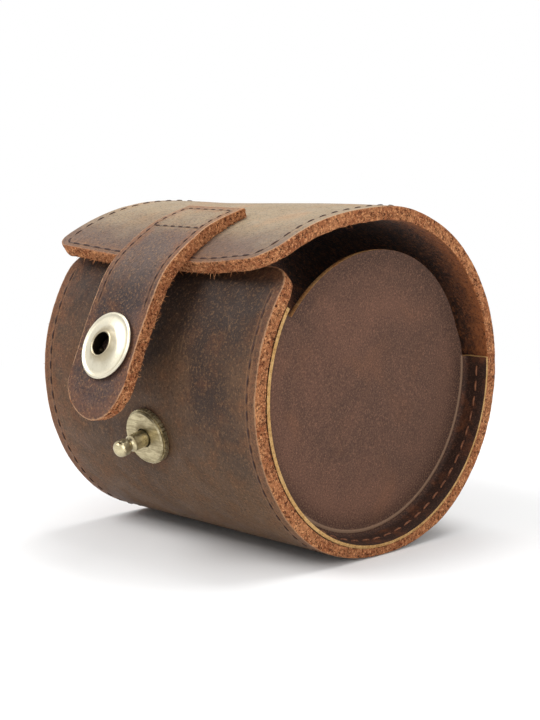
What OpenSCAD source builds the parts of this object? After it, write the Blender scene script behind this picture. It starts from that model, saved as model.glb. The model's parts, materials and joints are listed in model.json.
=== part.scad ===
// Round leather travel case for one watch, lying on its side.
// One thick sheet makes the front wall, the floor, the back and the flap. Two thin
// leather cups are sewn into the ends. A strap on the flap carries a pull lock that
// clips over a stud on the front wall, and a padded pillow lies inside.
// X runs along the case, the front with its stud looks to -Y, and Z points up.
// The origin is the middle of the flat that the case rests on.

/* [Case wall] */
// Outer radius of the round wall
case_r = 42.5; // [38:0.5:48]
// Length of the wall along X
case_len = 77.5; // [70:0.5:100]
// Thickness of the main sheet of leather
wall_t = 3.3; // [2.4:0.1:4]
// Depth of the flat that the floor has settled to
floor_cut = 1.2; // [0.6:0.1:1.6]
// Angle at which the front wall ends, from the back, over the top
front_top_a = 135.5; // [134:0.5:142]
// Radius of the front wall's top corners
wall_corner_r = 6.5; // [4:0.5:12]

/* [Flap] */
// Angle of the fold line, above the middle of the back
fold_a = 8; // [0:1:20]
// Gap left between wall and flap along the fold
fold_gap = 0.3; // [0.2:0.1:0.6]
// Angle at which the flap leaves the round of the case
flap_free_a = 93.5; // [90:0.5:98]
// Outer radius of the flap's flatter front part
flap_free_r = 66; // [62:1:80]
// Length of the flatter front part, along its outer face
flap_free_len = 37.5; // [34:0.5:40]
// Radius of the flap's front corners
flap_corner_r = 8; // [5:0.5:14]

/* [End cups] */
// Thickness of the thin leather of the cups
cup_t = 1.5; // [1:0.1:2]
// Depth of the disc below the end of the wall
cup_recess = 6; // [4:0.5:10]
// Radius of the bend between disc and flange, on the side that shows
cup_bend_r = 3; // [1.5:0.25:4]
// How far the flange stands out of the wall
cup_proud = 0.3; // [0:0.1:0.8]
// Angle at which the flange ends at the front
flange_front_a = 146; // [145:1:160]
// Angle at which the flange ends at the back
flange_back_a = 5; // [0:1:7]
// Radius of the disc's free top
disc_r = 34.5; // [30:0.5:35]
// Shift of the free top's centre to the back
disc_back = 1.5; // [0:0.5:3]
// Shift of the free top's centre downwards
disc_drop = 2.5; // [1.5:0.5:4]
// Gap between the flange and the wall that it is glued and sewn to
glue_gap = 0.05; // [0.02:0.01:0.1]

/* [Strap] */
// Width of the strap
strap_w = 23; // [20:0.5:28]
// Thickness of the strap
strap_t = 3.3; // [2.6:0.1:4]
// Length of the strap's sewn end, along the flap
strap_sewn_len = 21.5; // [16:0.5:26]
// How far the sewn end runs past the flap's edge
strap_over = 0.6; // [0.4:0.1:1.2]
// Gap left in the strap along its fold
strap_fold_gap = 0.6; // [0.6:0.1:1]
// Outer radius of the strap's bend below the flap
strap_bend_r = 20; // [16:1:30]
// Angle that the strap turns through there
strap_bend_a = 30; // [15:1:36]
// Length of the strap's straight stretch
strap_straight = 22.8; // [21:0.2:29]
// Outer radius of the curl at the strap's tip
tip_bend_r = 24; // [20:1:40]
// Angle that the tip turns through
tip_bend_a = 22; // [8:1:26]
// How far the tip's radius is over half the strap's width
tip_blunt = 0.5; // [0.3:0.1:2]
// Distance of the lock's centre from the top of the straight stretch
lock_down = 14.3; // [13.5:0.1:15.5]

/* [Lock] */
// Radius of the dished cap
cap_r = 8.5; // [7.8:0.1:9.5]
// Height of the cap's rolled rim above the leather
cap_rise = 1.35; // [1.2:0.05:1.8]
// Thickness of the cap's pressed metal
cap_t = 0.5; // [0.4:0.05:0.6]
// Travel of the cap when it is pulled
cap_travel = 1.5; // [1:0.1:1.5]
// Radius of the bore that takes the stud's post
bore_r = 2.5; // [2.3:0.1:2.8]
// Wall of the barrel round the bore
barrel_wall = 1.0; // [0.9:0.05:1.2]
// Radius of each locking ball
ball_r = 0.95; // [0.9:0.05:1]
// Number of locking balls
ball_count = 3; // [3:1:4]
// Depth of the balls' middle below the strap's face
ball_down = 0.2; // [0:0.1:0.4]
// Thickness of the lock's metal sleeves
sleeve_t = 1.1; // [1:0.05:1.2]
// Thickness of the housing's tube
tube_t = 0.55; // [0.5:0.05:0.8]
// Depth of the housing's floor behind the strap
housing_back = 1.5; // [1.3:0.1:2]
// Thickness of the housing's floor
housing_floor = 0.8; // [0.6:0.1:1]
// Running clearance between the cap's sleeve and the barrel
slide_gap = 0.05; // [0.03:0.01:0.08]
// Wire radius of the lock's spring
spring_wire_r = 0.2; // [0.15:0.01:0.22]
// Turns of the lock's spring
spring_turns = 3; // [2:1:4]
// Width of the ring nut behind the strap
ring_w = 1.8; // [1.4:0.1:2.4]

/* [Stud] */
// Radius of the stud's knurled base
stud_r = 6.8; // [6:0.1:7.4]
// Height of the stud's base
stud_h = 2.3; // [1.8:0.1:3]
// Angle of the stud's axis, below the horizontal
stud_tilt = 13; // [8:1:16]
// Distance that the axis passes below the middle of the case
stud_drop = 2.5; // [1:0.5:3]
// Depth to which the base is pressed into the leather
stud_press = 0.9; // [0.7:0.1:1.1]
// Radius of the post
post_r = 2.05; // [1.9:0.05:2.15]
// Height of the post above the base
post_h = 8.5; // [8:0.1:9.5]
// Height of the post's neck above the base
neck_h = 4.8; // [4.5:0.1:5.2]
// Radius of the neck
neck_r = 1.4; // [1.2:0.05:1.5]
// Grooves of the knurled band
knurls = 40; // [24:1:48]
// Radius of the stud's washer inside the wall
washer_r = 6; // [5:0.1:7]
// Thickness of that washer
washer_t = 0.8; // [0.6:0.1:1]
// Radius of the stud's screw head
screw_head_r = 4; // [3.4:0.1:4.4]

/* [Pillow] */
// Radius of the pillow at its crown
pillow_r = 25; // [22:0.5:26]
// Radius of the pillow's end discs
pillow_end_r = 21; // [18:0.5:21.5]
// Gap between the pillow's end and the cup's disc
pillow_gap = 2.5; // [1.5:0.5:6]
// Thickness of the pillow's cover
cover_t = 1.2; // [0.8:0.1:1.6]
// Gap left under and between the soft pieces
soft_gap = 0.3; // [0.3:0.05:0.4]

/* [Hidden] */
$fn = 64;

grain = [0.33, 0.22, 0.16];
suede = [0.28, 0.17, 0.11];
thin_leather = [0.38, 0.25, 0.19];
pale_brass = [0.78, 0.74, 0.62];
dark_brass = [0.55, 0.50, 0.38];
foam = [0.85, 0.80, 0.65];

margin = 1;                                   // how far a cutter runs past what it cuts
weld = 0.005;                                 // overlap that makes two touching shapes one
corner_lap = 0.02;                            // a corner's round crosses the edges, and doesn't only touch
axis_h = case_r - floor_cut;                  // height of the case's axis above the rest face
inner_r = case_r - wall_t;
half_len = case_len / 2;
flange_r = inner_r - glue_gap;                // outer radius of a cup's flange
disc_x = half_len - cup_recess;               // outer face of a cup's disc
core_r = disc_r - 10;                         // the round middle of a cup's disc

// The flap's flat front part turns round its own centre, on the line where it leaves the round.
free_c = (case_r - flap_free_r) * [cos(flap_free_a), sin(flap_free_a)];
flap_edge_a = flap_free_a + deg(flap_free_len / flap_free_r);

// The strap lies on the flap, runs past its edge and turns down.
strap_in_r = flap_free_r + glue_gap;
strap_out_r = strap_in_r + strap_t;
sewn_a0 = flap_edge_a - deg(strap_sewn_len / flap_free_r);
sewn_a1 = flap_edge_a + deg(strap_over / flap_free_r);
tongue_a0 = sewn_a1 + deg(strap_fold_gap / flap_free_r);
tongue_p0 = free_c + strap_out_r * dir(tongue_a0);
bend_c = tongue_p0 - strap_bend_r * dir(tongue_a0);
straight_a = tongue_a0 + strap_bend_a;        // outward normal of the straight stretch
straight_p = bend_c + strap_bend_r * dir(straight_a);
tip_reach = strap_straight + tip_bend_r * sin(tip_bend_a);
lock_p = straight_p + lock_down * dir(straight_a + 90);

// Heights in the lock are measured outwards from the strap's outer face.
barrel_r = bore_r + barrel_wall;
sleeve_in_r = barrel_r + slide_gap;
sleeve_r = sleeve_in_r + sleeve_t;
spring_room = 0.68;                           // room for the spring between sleeve and tube
tube_in_r = sleeve_r + slide_gap + spring_room;
tube_r = tube_in_r + tube_t;
lip_t = 0.4;                                  // rolled lip that holds the sleeve in
flange_w = 1.1;                               // width of the housing's front flange
foot_t = 0.6;                                 // foot of the cap's sleeve
foot_gap = 0.3;                               // room between the foot and the housing's floor
housing_z0 = -strap_t - housing_back;
foot_z0 = housing_z0 + housing_floor + foot_gap;
foot_z1 = foot_z0 + foot_t;
ball_hold = 0.55;                             // the sleeve grips the balls this far below their middle
relief_r = bore_r + 1.7;                      // room for the balls when the cap is pulled
relief_z1 = -ball_down - ball_hold;
relief_z0 = relief_z1 - cap_travel - 0.1;
barrel_top = 0.85;
cap_z0 = lip_t + 0.1;                         // underside of the cap's dish at rest
spring_r = (sleeve_r + tube_in_r) / 2;
spring_end_gap = 0.03;                        // gap between the spring's ends and their seats
spring_sides = 6;
spring_steps = 16;

// The stud's heights are measured from the middle of the case along its axis.
seat_d = case_r - stud_press;
post_top_d = seat_d + stud_h + post_h;
washer_press = 0.2;                           // depth to which the washer is pressed in
inner_seat_d = inner_r - washer_press;
collar_gap = 0.3;                             // ring gap round the post in the base's top
fit_gap = 0.02;                               // gap of a threaded or driven fit
screw_r = 1.1;
screw_head_t = 1.2;
screw_depth = 4;                              // depth of the post's threaded hole
screw_short = 0.5;                            // the screw ends this far before the hole does
washer_gap = 0.2;                             // gap round the screw in the washer
slot_w = 0.9;
slot_depth = 0.5;

pillow_axis_h = axis_h - inner_r + soft_gap + pillow_r;
pillow_len = 2 * (disc_x - cup_t - pillow_gap);
seam_gap = 0.05;                              // gap in a sewn seam of the pillow
crown_drop = pillow_r - pillow_end_r - seam_gap - cover_t;
crown_r = (pow(pillow_len / 2, 2) + pow(crown_drop, 2)) / (2 * crown_drop);

function deg(radians) = radians * 180 / PI;
function dir(a) = [cos(a), sin(a)];

// A flat sector from angle a0 to a1, wide enough to cut anything of radius r.
module wedge(a0, a1, r) {
    parts = max(1, ceil((a1 - a0) / 40));
    polygon(concat([[0, 0]], [for (i = [0:parts]) 1.3 * r * dir(a0 + (a1 - a0) * i / parts)]));
}

// A curved strip of sheet, seen from its end.
module strip(r, t, a0, a1) {
    intersection() {
        difference() {
            circle(r = r, $fn = 180);
            circle(r = r - t, $fn = 180);
        }
        wedge(a0, a1, r);
    }
}

// Carries a flat outline in Y and Z along X.
module along_x(length) {
    rotate([90, 0, 90])
        linear_extrude(length, center = true)
            children();
}

// Moves to the case's axis.
module at_axis() {
    translate([0, 0, axis_h])
        children();
}

// Turns local Z to the outward normal at an angle, with local Y along the sheet,
// and moves to a point given in Y and Z.
module on_face(p, a) {
    translate([0, p[0], p[1]])
        rotate([a - 90, 0, 0])
            children();
}

// Cuts both corners of an edge that a sheet ends in, at a point with normal angle a.
// The edge looks along local Y when out is 1, and against it when out is -1.
module corner_cuts(p, a, out, r, width) {
    on_face(p, a)
        for (side = [-1, 1])
            difference() {
                translate([side * (width - r + margin) / 2, out * (margin - r) / 2, 0])
                    cube([r + margin, r + margin, 8 * wall_t], center = true);
                translate([side * (width / 2 - r + corner_lap), out * (corner_lap - r), 0])
                    cylinder(r = r, h = 10 * wall_t, center = true);
            }
}

// Wall: front, floor and back, in one bent sheet.
module wall_outline() {
    difference() {
        strip(case_r, wall_t, front_top_a, 360 + fold_a);
        translate([-case_r, -case_r - margin])
            square([2 * case_r, floor_cut + margin]);
    }
}

module body_wall() {
    color(grain)
        at_axis()
            difference() {
                along_x(case_len)
                    wall_outline();
                corner_cuts(case_r * dir(front_top_a), front_top_a, 1, wall_corner_r, case_len);
                on_stud()
                    stud_room();
            }
}

// Room in the wall for the stud: a pressed seat on both sides and the post's hole.
module stud_room() {
    translate([0, 0, seat_d])
        cylinder(r = stud_r + fit_gap, h = 3 * wall_t);
    cylinder(r = washer_r + fit_gap, h = inner_seat_d);
    cylinder(r = post_r + fit_gap, h = case_r);
}

// Flap: the same sheet, past the fold line.
module lid_flap() {
    color(grain)
        at_axis()
            difference() {
                along_x(case_len)
                    union() {
                        strip(case_r, wall_t, fold_a + deg(fold_gap / case_r), flap_free_a);
                        translate(free_c)
                            strip(flap_free_r, wall_t, flap_free_a, flap_edge_a);
                    }
                corner_cuts(free_c + flap_free_r * dir(flap_edge_a), flap_edge_a, -1, flap_corner_r, case_len);
            }
}

// End cup: the outer part of the disc with the bend and the flange that turns outwards,
// seen as a section from the case's axis out.
module cup_profile() {
    bend_x = flange_r - cup_t - cup_bend_r;   // the bend's centre, from the axis
    translate([core_r - margin, disc_x - cup_t])
        square([bend_x - core_r + margin, cup_t]);
    difference() {
        intersection() {
            translate([bend_x, disc_x + cup_bend_r])
                circle(r = cup_bend_r + cup_t);
            translate([bend_x, disc_x - cup_t])
                square(cup_bend_r + cup_t);
        }
        translate([bend_x, disc_x + cup_bend_r])
            circle(r = cup_bend_r);
    }
    translate([flange_r - cup_t, disc_x + cup_bend_r])
        square([cup_t, half_len + cup_proud - disc_x - cup_bend_r]);
}

// End cup: the middle of the disc, and its free top, which runs on a little at both ends
// of the flange.
module cup_disc() {
    lap_a = 1;
    circle(r = core_r, $fn = 180);
    intersection() {
        translate([disc_back, -disc_drop])
            circle(r = disc_r, $fn = 180);
        wedge(flange_back_a - lap_a, flange_front_a + lap_a, case_r);
    }
}

module end_cup() {
    at_axis()
        rotate([90, 0, 90])
            union() {
                rotate([0, 0, flange_front_a])
                    rotate_extrude(angle = 360 + flange_back_a - flange_front_a, $fn = 180)
                        cup_profile();
                translate([0, 0, disc_x - cup_t])
                    linear_extrude(cup_t)
                        cup_disc();
            }
}

module end_cup_right() {
    color(thin_leather)
        end_cup();
}

module end_cup_left() {
    color(thin_leather)
        mirror([1, 0, 0])
            end_cup();
}

// Strap: the end that is sewn on the flap.
module strap_sewn_end() {
    color(grain)
        at_axis()
            along_x(strap_w)
                translate(free_c)
                    strip(strap_out_r, strap_t, sewn_a0, sewn_a1);
}

// Strap: the free tongue, bent down from the flap's edge, with a round tip. It is drawn
// from the top of its straight stretch, which runs along -Y with its outer face up.
module tongue_outline() {
    translate([0, -strap_bend_r])
        strip(strap_bend_r, strap_t, 90 - strap_bend_a, 90);
    translate([-strap_straight, -strap_t])
        square([strap_straight, strap_t]);
    translate([-strap_straight, -tip_bend_r])
        strip(tip_bend_r, strap_t, 90, 90 + tip_bend_a);
}

module strap_tongue() {
    tip_r = strap_w / 2 + tip_blunt;
    color(grain)
        at_axis()
            on_face(straight_p, straight_a)
                difference() {
                    intersection() {
                        along_x(strap_w)
                            tongue_outline();
                        union() {
                            translate([-strap_w, tip_r - tip_reach, -strap_w])
                                cube([2 * strap_w, 3 * strap_w, 2 * strap_w]);
                            translate([0, tip_r - tip_reach, -strap_w])
                                cylinder(r = tip_r, h = 2 * strap_w, $fn = 90);
                        }
                    }
                    translate([0, -lock_down, -strap_t - margin])
                        cylinder(r = tube_r + fit_gap, h = strap_t + 2 * margin);
                }
}

// Moves to the lock: local Z points outwards, and zero is the strap's outer face.
module on_lock() {
    on_face(lock_p, straight_a)
        children();
}

// Lock: a turned housing in the strap, with its barrel, tube, lip and front flange.
module lock_housing() {
    color(dark_brass)
        at_axis()
            on_lock()
                difference() {
                    rotate_extrude()
                        union() {
                            translate([bore_r, housing_z0])
                                square([tube_r - bore_r, housing_floor]);
                            translate([bore_r, housing_z0])
                                square([barrel_wall, barrel_top - housing_z0]);
                            translate([tube_in_r, housing_z0])
                                square([tube_t, lip_t - housing_z0]);
                            translate([sleeve_r + slide_gap, 0])
                                square([tube_r + flange_w - sleeve_r - slide_gap, lip_t]);
                        }
                    for (i = [0:ball_count - 1])
                        rotate([0, 0, 90 + 360 * i / ball_count])
                            translate([0, 0, -ball_down])
                                rotate([0, 90, 0])
                                    cylinder(r = ball_r + slide_gap, h = barrel_r + margin);
                }
}

// Lock: the balls that close on the post's neck.
module lock_balls() {
    color(pale_brass)
        at_axis()
            on_lock()
                for (i = [0:ball_count - 1])
                    rotate([0, 0, 90 + 360 * i / ball_count])
                        translate([barrel_r - ball_r, 0, -ball_down])
                            sphere(r = ball_r, $fn = 32);
}

// Lock: the dished cap with the sleeve that holds the balls in until it is pulled.
module cap_profile() {
    bead_r = 0.4;                             // rolled rim
    lip_r = bore_r + 0.1;                     // radius of the hole for the post
    lip_z = barrel_top + 0.08;                // underside of the lip, just over the barrel
    crest_z = lip_z + cap_t;
    crest_r = barrel_r + 0.1;
    valley_r = sleeve_r + 0.9;
    rim_r = cap_r - bead_r / 2;
    // The sleeve, with the relief for the balls, and its foot
    difference() {
        translate([sleeve_in_r, foot_z0])
            square([sleeve_t, cap_z0 + cap_t - foot_z0]);
        translate([0, relief_z0])
            square([relief_r, relief_z1 - relief_z0]);
    }
    translate([sleeve_in_r, foot_z0])
        square([tube_in_r - slide_gap - sleeve_in_r, foot_t]);
    // The dish, out from the lip to the rim along its underside, and back along its face
    polygon([
        [lip_r, lip_z],
        [sleeve_in_r + weld, lip_z],
        [sleeve_in_r + weld, cap_z0],
        [valley_r, cap_z0],
        [rim_r, cap_rise - 2 * bead_r],
        [rim_r, cap_rise - bead_r],
        [valley_r, cap_z0 + cap_t * 0.8],
        [sleeve_r, cap_z0 + cap_t],
        [crest_r, crest_z],
        [lip_r + cap_t / 2, crest_z],
        [lip_r, crest_z - cap_t / 2]
    ]);
    translate([cap_r - bead_r, cap_rise - bead_r])
        circle(r = bead_r, $fn = 32);
}

module lock_cap() {
    color(pale_brass)
        at_axis()
            on_lock()
                rotate_extrude()
                    cap_profile();
}

// Lock: the spring that pulls the cap home, one unbroken coil under the housing's lip.
function coil_point(turn, a) =
    let (
        low = foot_z1 + spring_end_gap + spring_wire_r,
        high = -spring_end_gap - spring_wire_r,
        middle = low + (high - low) * turn / spring_turns,
        r = spring_r + spring_wire_r * cos(a),
        z = middle + spring_wire_r * sin(a)
    )
    [r * cos(360 * turn), r * sin(360 * turn), z];

module lock_spring() {
    rings = spring_turns * spring_steps;
    last = rings * spring_sides;
    points = [for (i = [0:rings]) for (k = [0:spring_sides - 1])
        coil_point(i / spring_steps, 360 * k / spring_sides)];
    sides = [for (i = [0:rings - 1]) for (k = [0:spring_sides - 1])
        let (a = i * spring_sides + k, b = i * spring_sides + (k + 1) % spring_sides)
        [a, b, b + spring_sides, a + spring_sides]];
    start_cap = [[for (k = [0:spring_sides - 1]) spring_sides - 1 - k]];
    end_cap = [[for (k = [0:spring_sides - 1]) last + k]];
    pitch = (-foot_z1 - 2 * spring_end_gap - 2 * spring_wire_r) / spring_turns;
    echo(spring_gap = pitch - 2 * spring_wire_r);
    color(dark_brass)
        at_axis()
            on_lock()
                polyhedron(points = points, faces = concat(start_cap, sides, end_cap), convexity = 6);
}

// Lock: the ring nut behind the strap, with two spanner notches.
module lock_ring_nut() {
    nut_t = housing_back - 0.4;               // the housing's end stands out of the nut by the rest
    notch_w = 1.4;
    notch_deep = 0.8;
    color(dark_brass)
        at_axis()
            on_lock()
                translate([0, 0, -strap_t - nut_t])
                    difference() {
                        cylinder(r = tube_r + ring_w, h = nut_t);
                        translate([0, 0, -margin])
                            cylinder(r = tube_r + fit_gap, h = nut_t + 2 * margin);
                        for (side = [-1, 1])
                            translate([side * (tube_r + ring_w), 0, 0])
                                cube([2 * notch_deep, notch_w, 3 * nut_t], center = true);
                    }
}

// Moves to the stud: local Z points outwards along its axis.
module on_stud() {
    on_face(stud_drop * dir(270 + stud_tilt), 180 + stud_tilt)
        children();
}

// Stud: the round base with a knurled band under a plain edge, bored for the post.
module stud_base() {
    band_h = 1.2;                             // height of the knurled band
    band_z = 0.35;                            // its height above the leather
    step = 0.3;                               // the band stands out of the plain edge by this
    groove = 0.3;                             // side of each knurl's square cutter
    color(pale_brass)
        at_axis()
            on_stud()
                translate([0, 0, seat_d])
                    difference() {
                        rotate_extrude($fn = 120)
                            polygon([
                                [0, 0],
                                [stud_r - step, 0],
                                [stud_r - step, band_z],
                                [stud_r, band_z],
                                [stud_r, band_z + band_h],
                                [stud_r - step, band_z + band_h],
                                [stud_r - step, stud_h - step],
                                [stud_r - 2 * step, stud_h],
                                [0, stud_h]
                            ]);
                        for (i = [0:knurls - 1])
                            rotate([0, 0, 360 * i / knurls])
                                translate([stud_r, 0, band_z + band_h / 2])
                                    rotate([0, 0, 45])
                                        cube([groove, groove, band_h + weld], center = true);
                        translate([0, 0, -margin])
                            cylinder(r = post_r + fit_gap, h = stud_h + 2 * margin);
                        translate([0, 0, stud_h / 2])
                            cylinder(r = post_r + collar_gap, h = stud_h);
                    }
}

// Stud: the post, with its neck and ball tip, drilled from behind for the screw.
module stud_post() {
    neck_d = seat_d + stud_h + neck_h;
    neck_half = 0.95;                         // radius of the groove that makes the neck
    tip_r = 1.35;                             // rounding of the ball tip
    color(pale_brass)
        at_axis()
            on_stud()
                difference() {
                    rotate_extrude()
                        difference() {
                            union() {
                                translate([0, inner_seat_d])
                                    square([post_r, post_top_d - tip_r - inner_seat_d]);
                                translate([0, post_top_d - tip_r - margin])
                                    square([post_r - tip_r, tip_r + margin]);
                                intersection() {
                                    translate([post_r - tip_r, post_top_d - tip_r])
                                        circle(r = tip_r);
                                    square([post_r, post_top_d]);
                                }
                            }
                            translate([neck_r + neck_half, neck_d])
                                circle(r = neck_half);
                        }
                    translate([0, 0, inner_seat_d - margin])
                        cylinder(r = screw_r + fit_gap, h = screw_depth + margin);
                }
}

// Stud: the washer inside the wall.
module stud_washer() {
    color(dark_brass)
        at_axis()
            on_stud()
                translate([0, 0, inner_seat_d - washer_t])
                    difference() {
                        cylinder(r = washer_r, h = washer_t);
                        translate([0, 0, -margin])
                            cylinder(r = screw_r + washer_gap, h = washer_t + 2 * margin);
                    }
}

// Stud: the slotted screw that draws the post to the washer.
module stud_screw() {
    head_d = inner_seat_d - washer_t - screw_head_t;
    shank = washer_t + screw_depth - screw_short;
    color(dark_brass)
        at_axis()
            on_stud()
                translate([0, 0, head_d])
                    difference() {
                        union() {
                            cylinder(r = screw_head_r, h = screw_head_t);
                            cylinder(r = screw_r, h = screw_head_t + shank);
                        }
                        cube([3 * screw_head_r, slot_w, 2 * slot_depth], center = true);
                    }
}

// Moves to the pillow's axis and turns local Z along X.
module on_pillow() {
    translate([0, 0, pillow_axis_h])
        rotate([90, 0, 90])
            children();
}

// Crowned outline of the pillow, drawn in by an inset all round and cut to a half length.
module pillow_round(inset, half) {
    crown_c = pillow_r - crown_r;
    intersection() {
        translate([crown_c, 0])
            circle(r = crown_r - inset, $fn = 360);
        translate([0, -half])
            square([pillow_r + margin, 2 * half]);
    }
}

// Pillow: the foam core.
module pillow_core() {
    color(foam)
        on_pillow()
            rotate_extrude($fn = 90)
                pillow_round(cover_t + seam_gap, pillow_len / 2 - cover_t - soft_gap);
}

// Pillow: the suede tube round the core.
module pillow_cover() {
    half = pillow_len / 2;
    color(suede)
        on_pillow()
            rotate_extrude($fn = 90)
                difference() {
                    pillow_round(0, half);
                    pillow_round(cover_t, half + margin);
                }
}

// Pillow: a suede disc that closes each end.
module pillow_end() {
    on_pillow()
        translate([0, 0, pillow_len / 2 - cover_t])
            cylinder(r = pillow_end_r, h = cover_t, $fn = 90);
}

module pillow_end_right() {
    color(suede)
        pillow_end();
}

module pillow_end_left() {
    color(suede)
        mirror([1, 0, 0])
            pillow_end();
}

body_wall();
end_cup_left();
end_cup_right();
lid_flap();
strap_sewn_end();
strap_tongue();
lock_cap();
lock_housing();
lock_balls();
lock_spring();
lock_ring_nut();
stud_base();
stud_post();
stud_washer();
stud_screw();
pillow_core();
pillow_cover();
pillow_end_left();
pillow_end_right();
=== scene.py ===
# %% [markdown]
# # A round leather case for one watch
# The case is one thick sheet of leather, bent into a tube that lies on its side. Two thin
# leather cups close its ends, a strap with a brass pull lock hangs over the front, and a
# padded pillow lies inside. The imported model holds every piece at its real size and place.
# This script loads it as a fixed frame and dresses it: leather is cut flat and then bent, as
# a saddler works it, metal is turned on a lathe, and threads are laid along stitch rows.

# %% Load the fixed frame
import json
import math
import random

import bmesh
import bpy
from mathutils import Matrix, Vector, noise


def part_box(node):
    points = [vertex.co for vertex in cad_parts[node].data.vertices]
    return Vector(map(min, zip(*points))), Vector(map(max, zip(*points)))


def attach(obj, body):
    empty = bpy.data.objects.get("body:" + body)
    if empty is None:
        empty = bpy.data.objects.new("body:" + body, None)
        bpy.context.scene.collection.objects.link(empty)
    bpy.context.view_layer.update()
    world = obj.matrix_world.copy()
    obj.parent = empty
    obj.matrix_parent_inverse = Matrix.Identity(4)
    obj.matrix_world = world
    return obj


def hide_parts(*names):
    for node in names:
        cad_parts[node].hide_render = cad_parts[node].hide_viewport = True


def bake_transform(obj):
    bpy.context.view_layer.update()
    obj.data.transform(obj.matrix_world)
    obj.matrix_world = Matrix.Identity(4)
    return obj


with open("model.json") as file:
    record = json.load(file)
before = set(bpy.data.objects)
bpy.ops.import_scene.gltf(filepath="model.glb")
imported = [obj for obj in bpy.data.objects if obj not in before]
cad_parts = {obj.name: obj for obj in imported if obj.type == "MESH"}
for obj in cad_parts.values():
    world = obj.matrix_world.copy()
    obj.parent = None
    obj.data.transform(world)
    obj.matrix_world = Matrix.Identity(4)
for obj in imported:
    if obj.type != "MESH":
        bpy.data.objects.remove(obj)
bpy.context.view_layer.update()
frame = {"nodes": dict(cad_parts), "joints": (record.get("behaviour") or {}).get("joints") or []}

# %% [markdown]
# ## Sizes
# Most places come from the frame, so that nothing has to be fitted afterwards. The wall's
# box gives the radius and the length of the case, and a cup's box gives the height of its
# axis. The lid's joint gives the fold. The angles and lengths of the flap and the strap, and the
# marks of wear, are written here.

# %% Read the main sizes
MM = 0.001
wall_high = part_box("body_wall")[1]
cup_low, cup_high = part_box("end_cup_right")
HALF_LEN = wall_high.x
CASE_R = wall_high.y
FLANGE_R = cup_high.y
AXIS = Vector((0.0, cup_low.z + FLANGE_R))      # the case's axis, as y and z
GLUE = 0.05 * MM
WALL_T = CASE_R - FLANGE_R - GLUE
joint_at = {j["name"]: Vector(j["pos_m"]) for j in frame["joints"] if "pos_m" in j}
joint_along = {j["name"]: Vector(j["axis"]) for j in frame["joints"]}
print("radius", round(CASE_R / MM, 2), "axis height", round(AXIS.y / MM, 2))
print("thickness of the leather", round(WALL_T / MM, 2))

# %% [markdown]
# ## Bend lines
# Seen from its end, the sheet is a chain of arcs. A bend line lists them in order, and a
# distance along its outer face gives one point and the direction that is outwards there.
# With that, anything drawn on flat leather can be carried round the case: its distance
# across stays X, its distance along goes round the line, and its height goes outwards.

# %% Bend lines of the sheet and the strap
FRONT_TOP_A = 135.5
FLAP_FREE_A = 93.5
FLAP_FREE_R = 66 * MM
FLAP_FREE_LEN = 37.5 * MM
STRAP_T = 3.3 * MM
STRAP_W = 23 * MM
STRAP_SEWN = 21.5 * MM
STRAP_OVER = 1.2 * MM           # it bends so far past the flap's edge
STRAP_BEND_R = 20 * MM
STRAP_BEND_A = 30.0
STRAP_STRAIGHT = 22.8 * MM
TIP_BEND_R = 24 * MM
TIP_BEND_A = 22.0
LOCK_DOWN = 14.3 * MM


def outward(a):
    """Unit vector in y and z at an angle in degrees."""
    return Vector((math.cos(math.radians(a)), math.sin(math.radians(a))))


def arc(centre, radius, a0, a1):
    """A stretch of a bend line that turns from one angle to another."""
    return {"centre": centre, "radius": radius, "a0": a0, "length": radius * math.radians(a1 - a0)}


def straight(start, a, length):
    """A straight stretch of a bend line, with its outer face towards one angle."""
    return {"centre": start, "radius": None, "a0": a, "length": length}


def on_line(line, s):
    """Point and outward angle at a distance along a bend line."""
    for stretch in line:
        if s <= stretch["length"] or stretch is line[-1]:
            break
        s -= stretch["length"]
    if stretch["radius"] is None:
        a = stretch["a0"]
        return stretch["centre"] + s * outward(a + 90), a
    a = stretch["a0"] + math.degrees(s / stretch["radius"])
    return stretch["centre"] + stretch["radius"] * outward(a), a


def line_length(line):
    return sum(stretch["length"] for stretch in line)


free_centre = AXIS + (CASE_R - FLAP_FREE_R) * outward(FLAP_FREE_A)
flap_edge_a = FLAP_FREE_A + math.degrees(FLAP_FREE_LEN / FLAP_FREE_R)
SHEET_LINE = [
    arc(AXIS, CASE_R, FRONT_TOP_A, 360 + FLAP_FREE_A),
    arc(free_centre, FLAP_FREE_R, FLAP_FREE_A, flap_edge_a),
]
fold = joint_at["lid_fold"]
fold_a = math.degrees(math.atan2(fold.z - AXIS.y, fold.y - AXIS.x))
FOLD_S = CASE_R * math.radians(360 + fold_a - FRONT_TOP_A)
SHEET_S = line_length(SHEET_LINE)

strap_r = FLAP_FREE_R + GLUE + STRAP_T
strap_a0 = flap_edge_a - math.degrees(STRAP_SEWN / FLAP_FREE_R)
strap_a1 = flap_edge_a + math.degrees(STRAP_OVER / FLAP_FREE_R)
bend_centre = free_centre + (strap_r - STRAP_BEND_R) * outward(strap_a1)
straight_a = strap_a1 + STRAP_BEND_A
straight_start = bend_centre + STRAP_BEND_R * outward(straight_a)
straight_end = straight_start + STRAP_STRAIGHT * outward(straight_a + 90)
tip_centre = straight_end - TIP_BEND_R * outward(straight_a)
STRAP_LINE = [
    arc(free_centre, strap_r, strap_a0, strap_a1),
    arc(bend_centre, STRAP_BEND_R, strap_a1, straight_a),
    straight(straight_start, straight_a, STRAP_STRAIGHT),
    arc(tip_centre, TIP_BEND_R, straight_a, straight_a + TIP_BEND_A),
]
STRAP_S = line_length(STRAP_LINE)
LOCK_S = line_length(STRAP_LINE[:2]) + LOCK_DOWN
print("sheet", round(SHEET_S / MM, 1), "mm long, strap", round(STRAP_S / MM, 1), "mm long")

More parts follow.
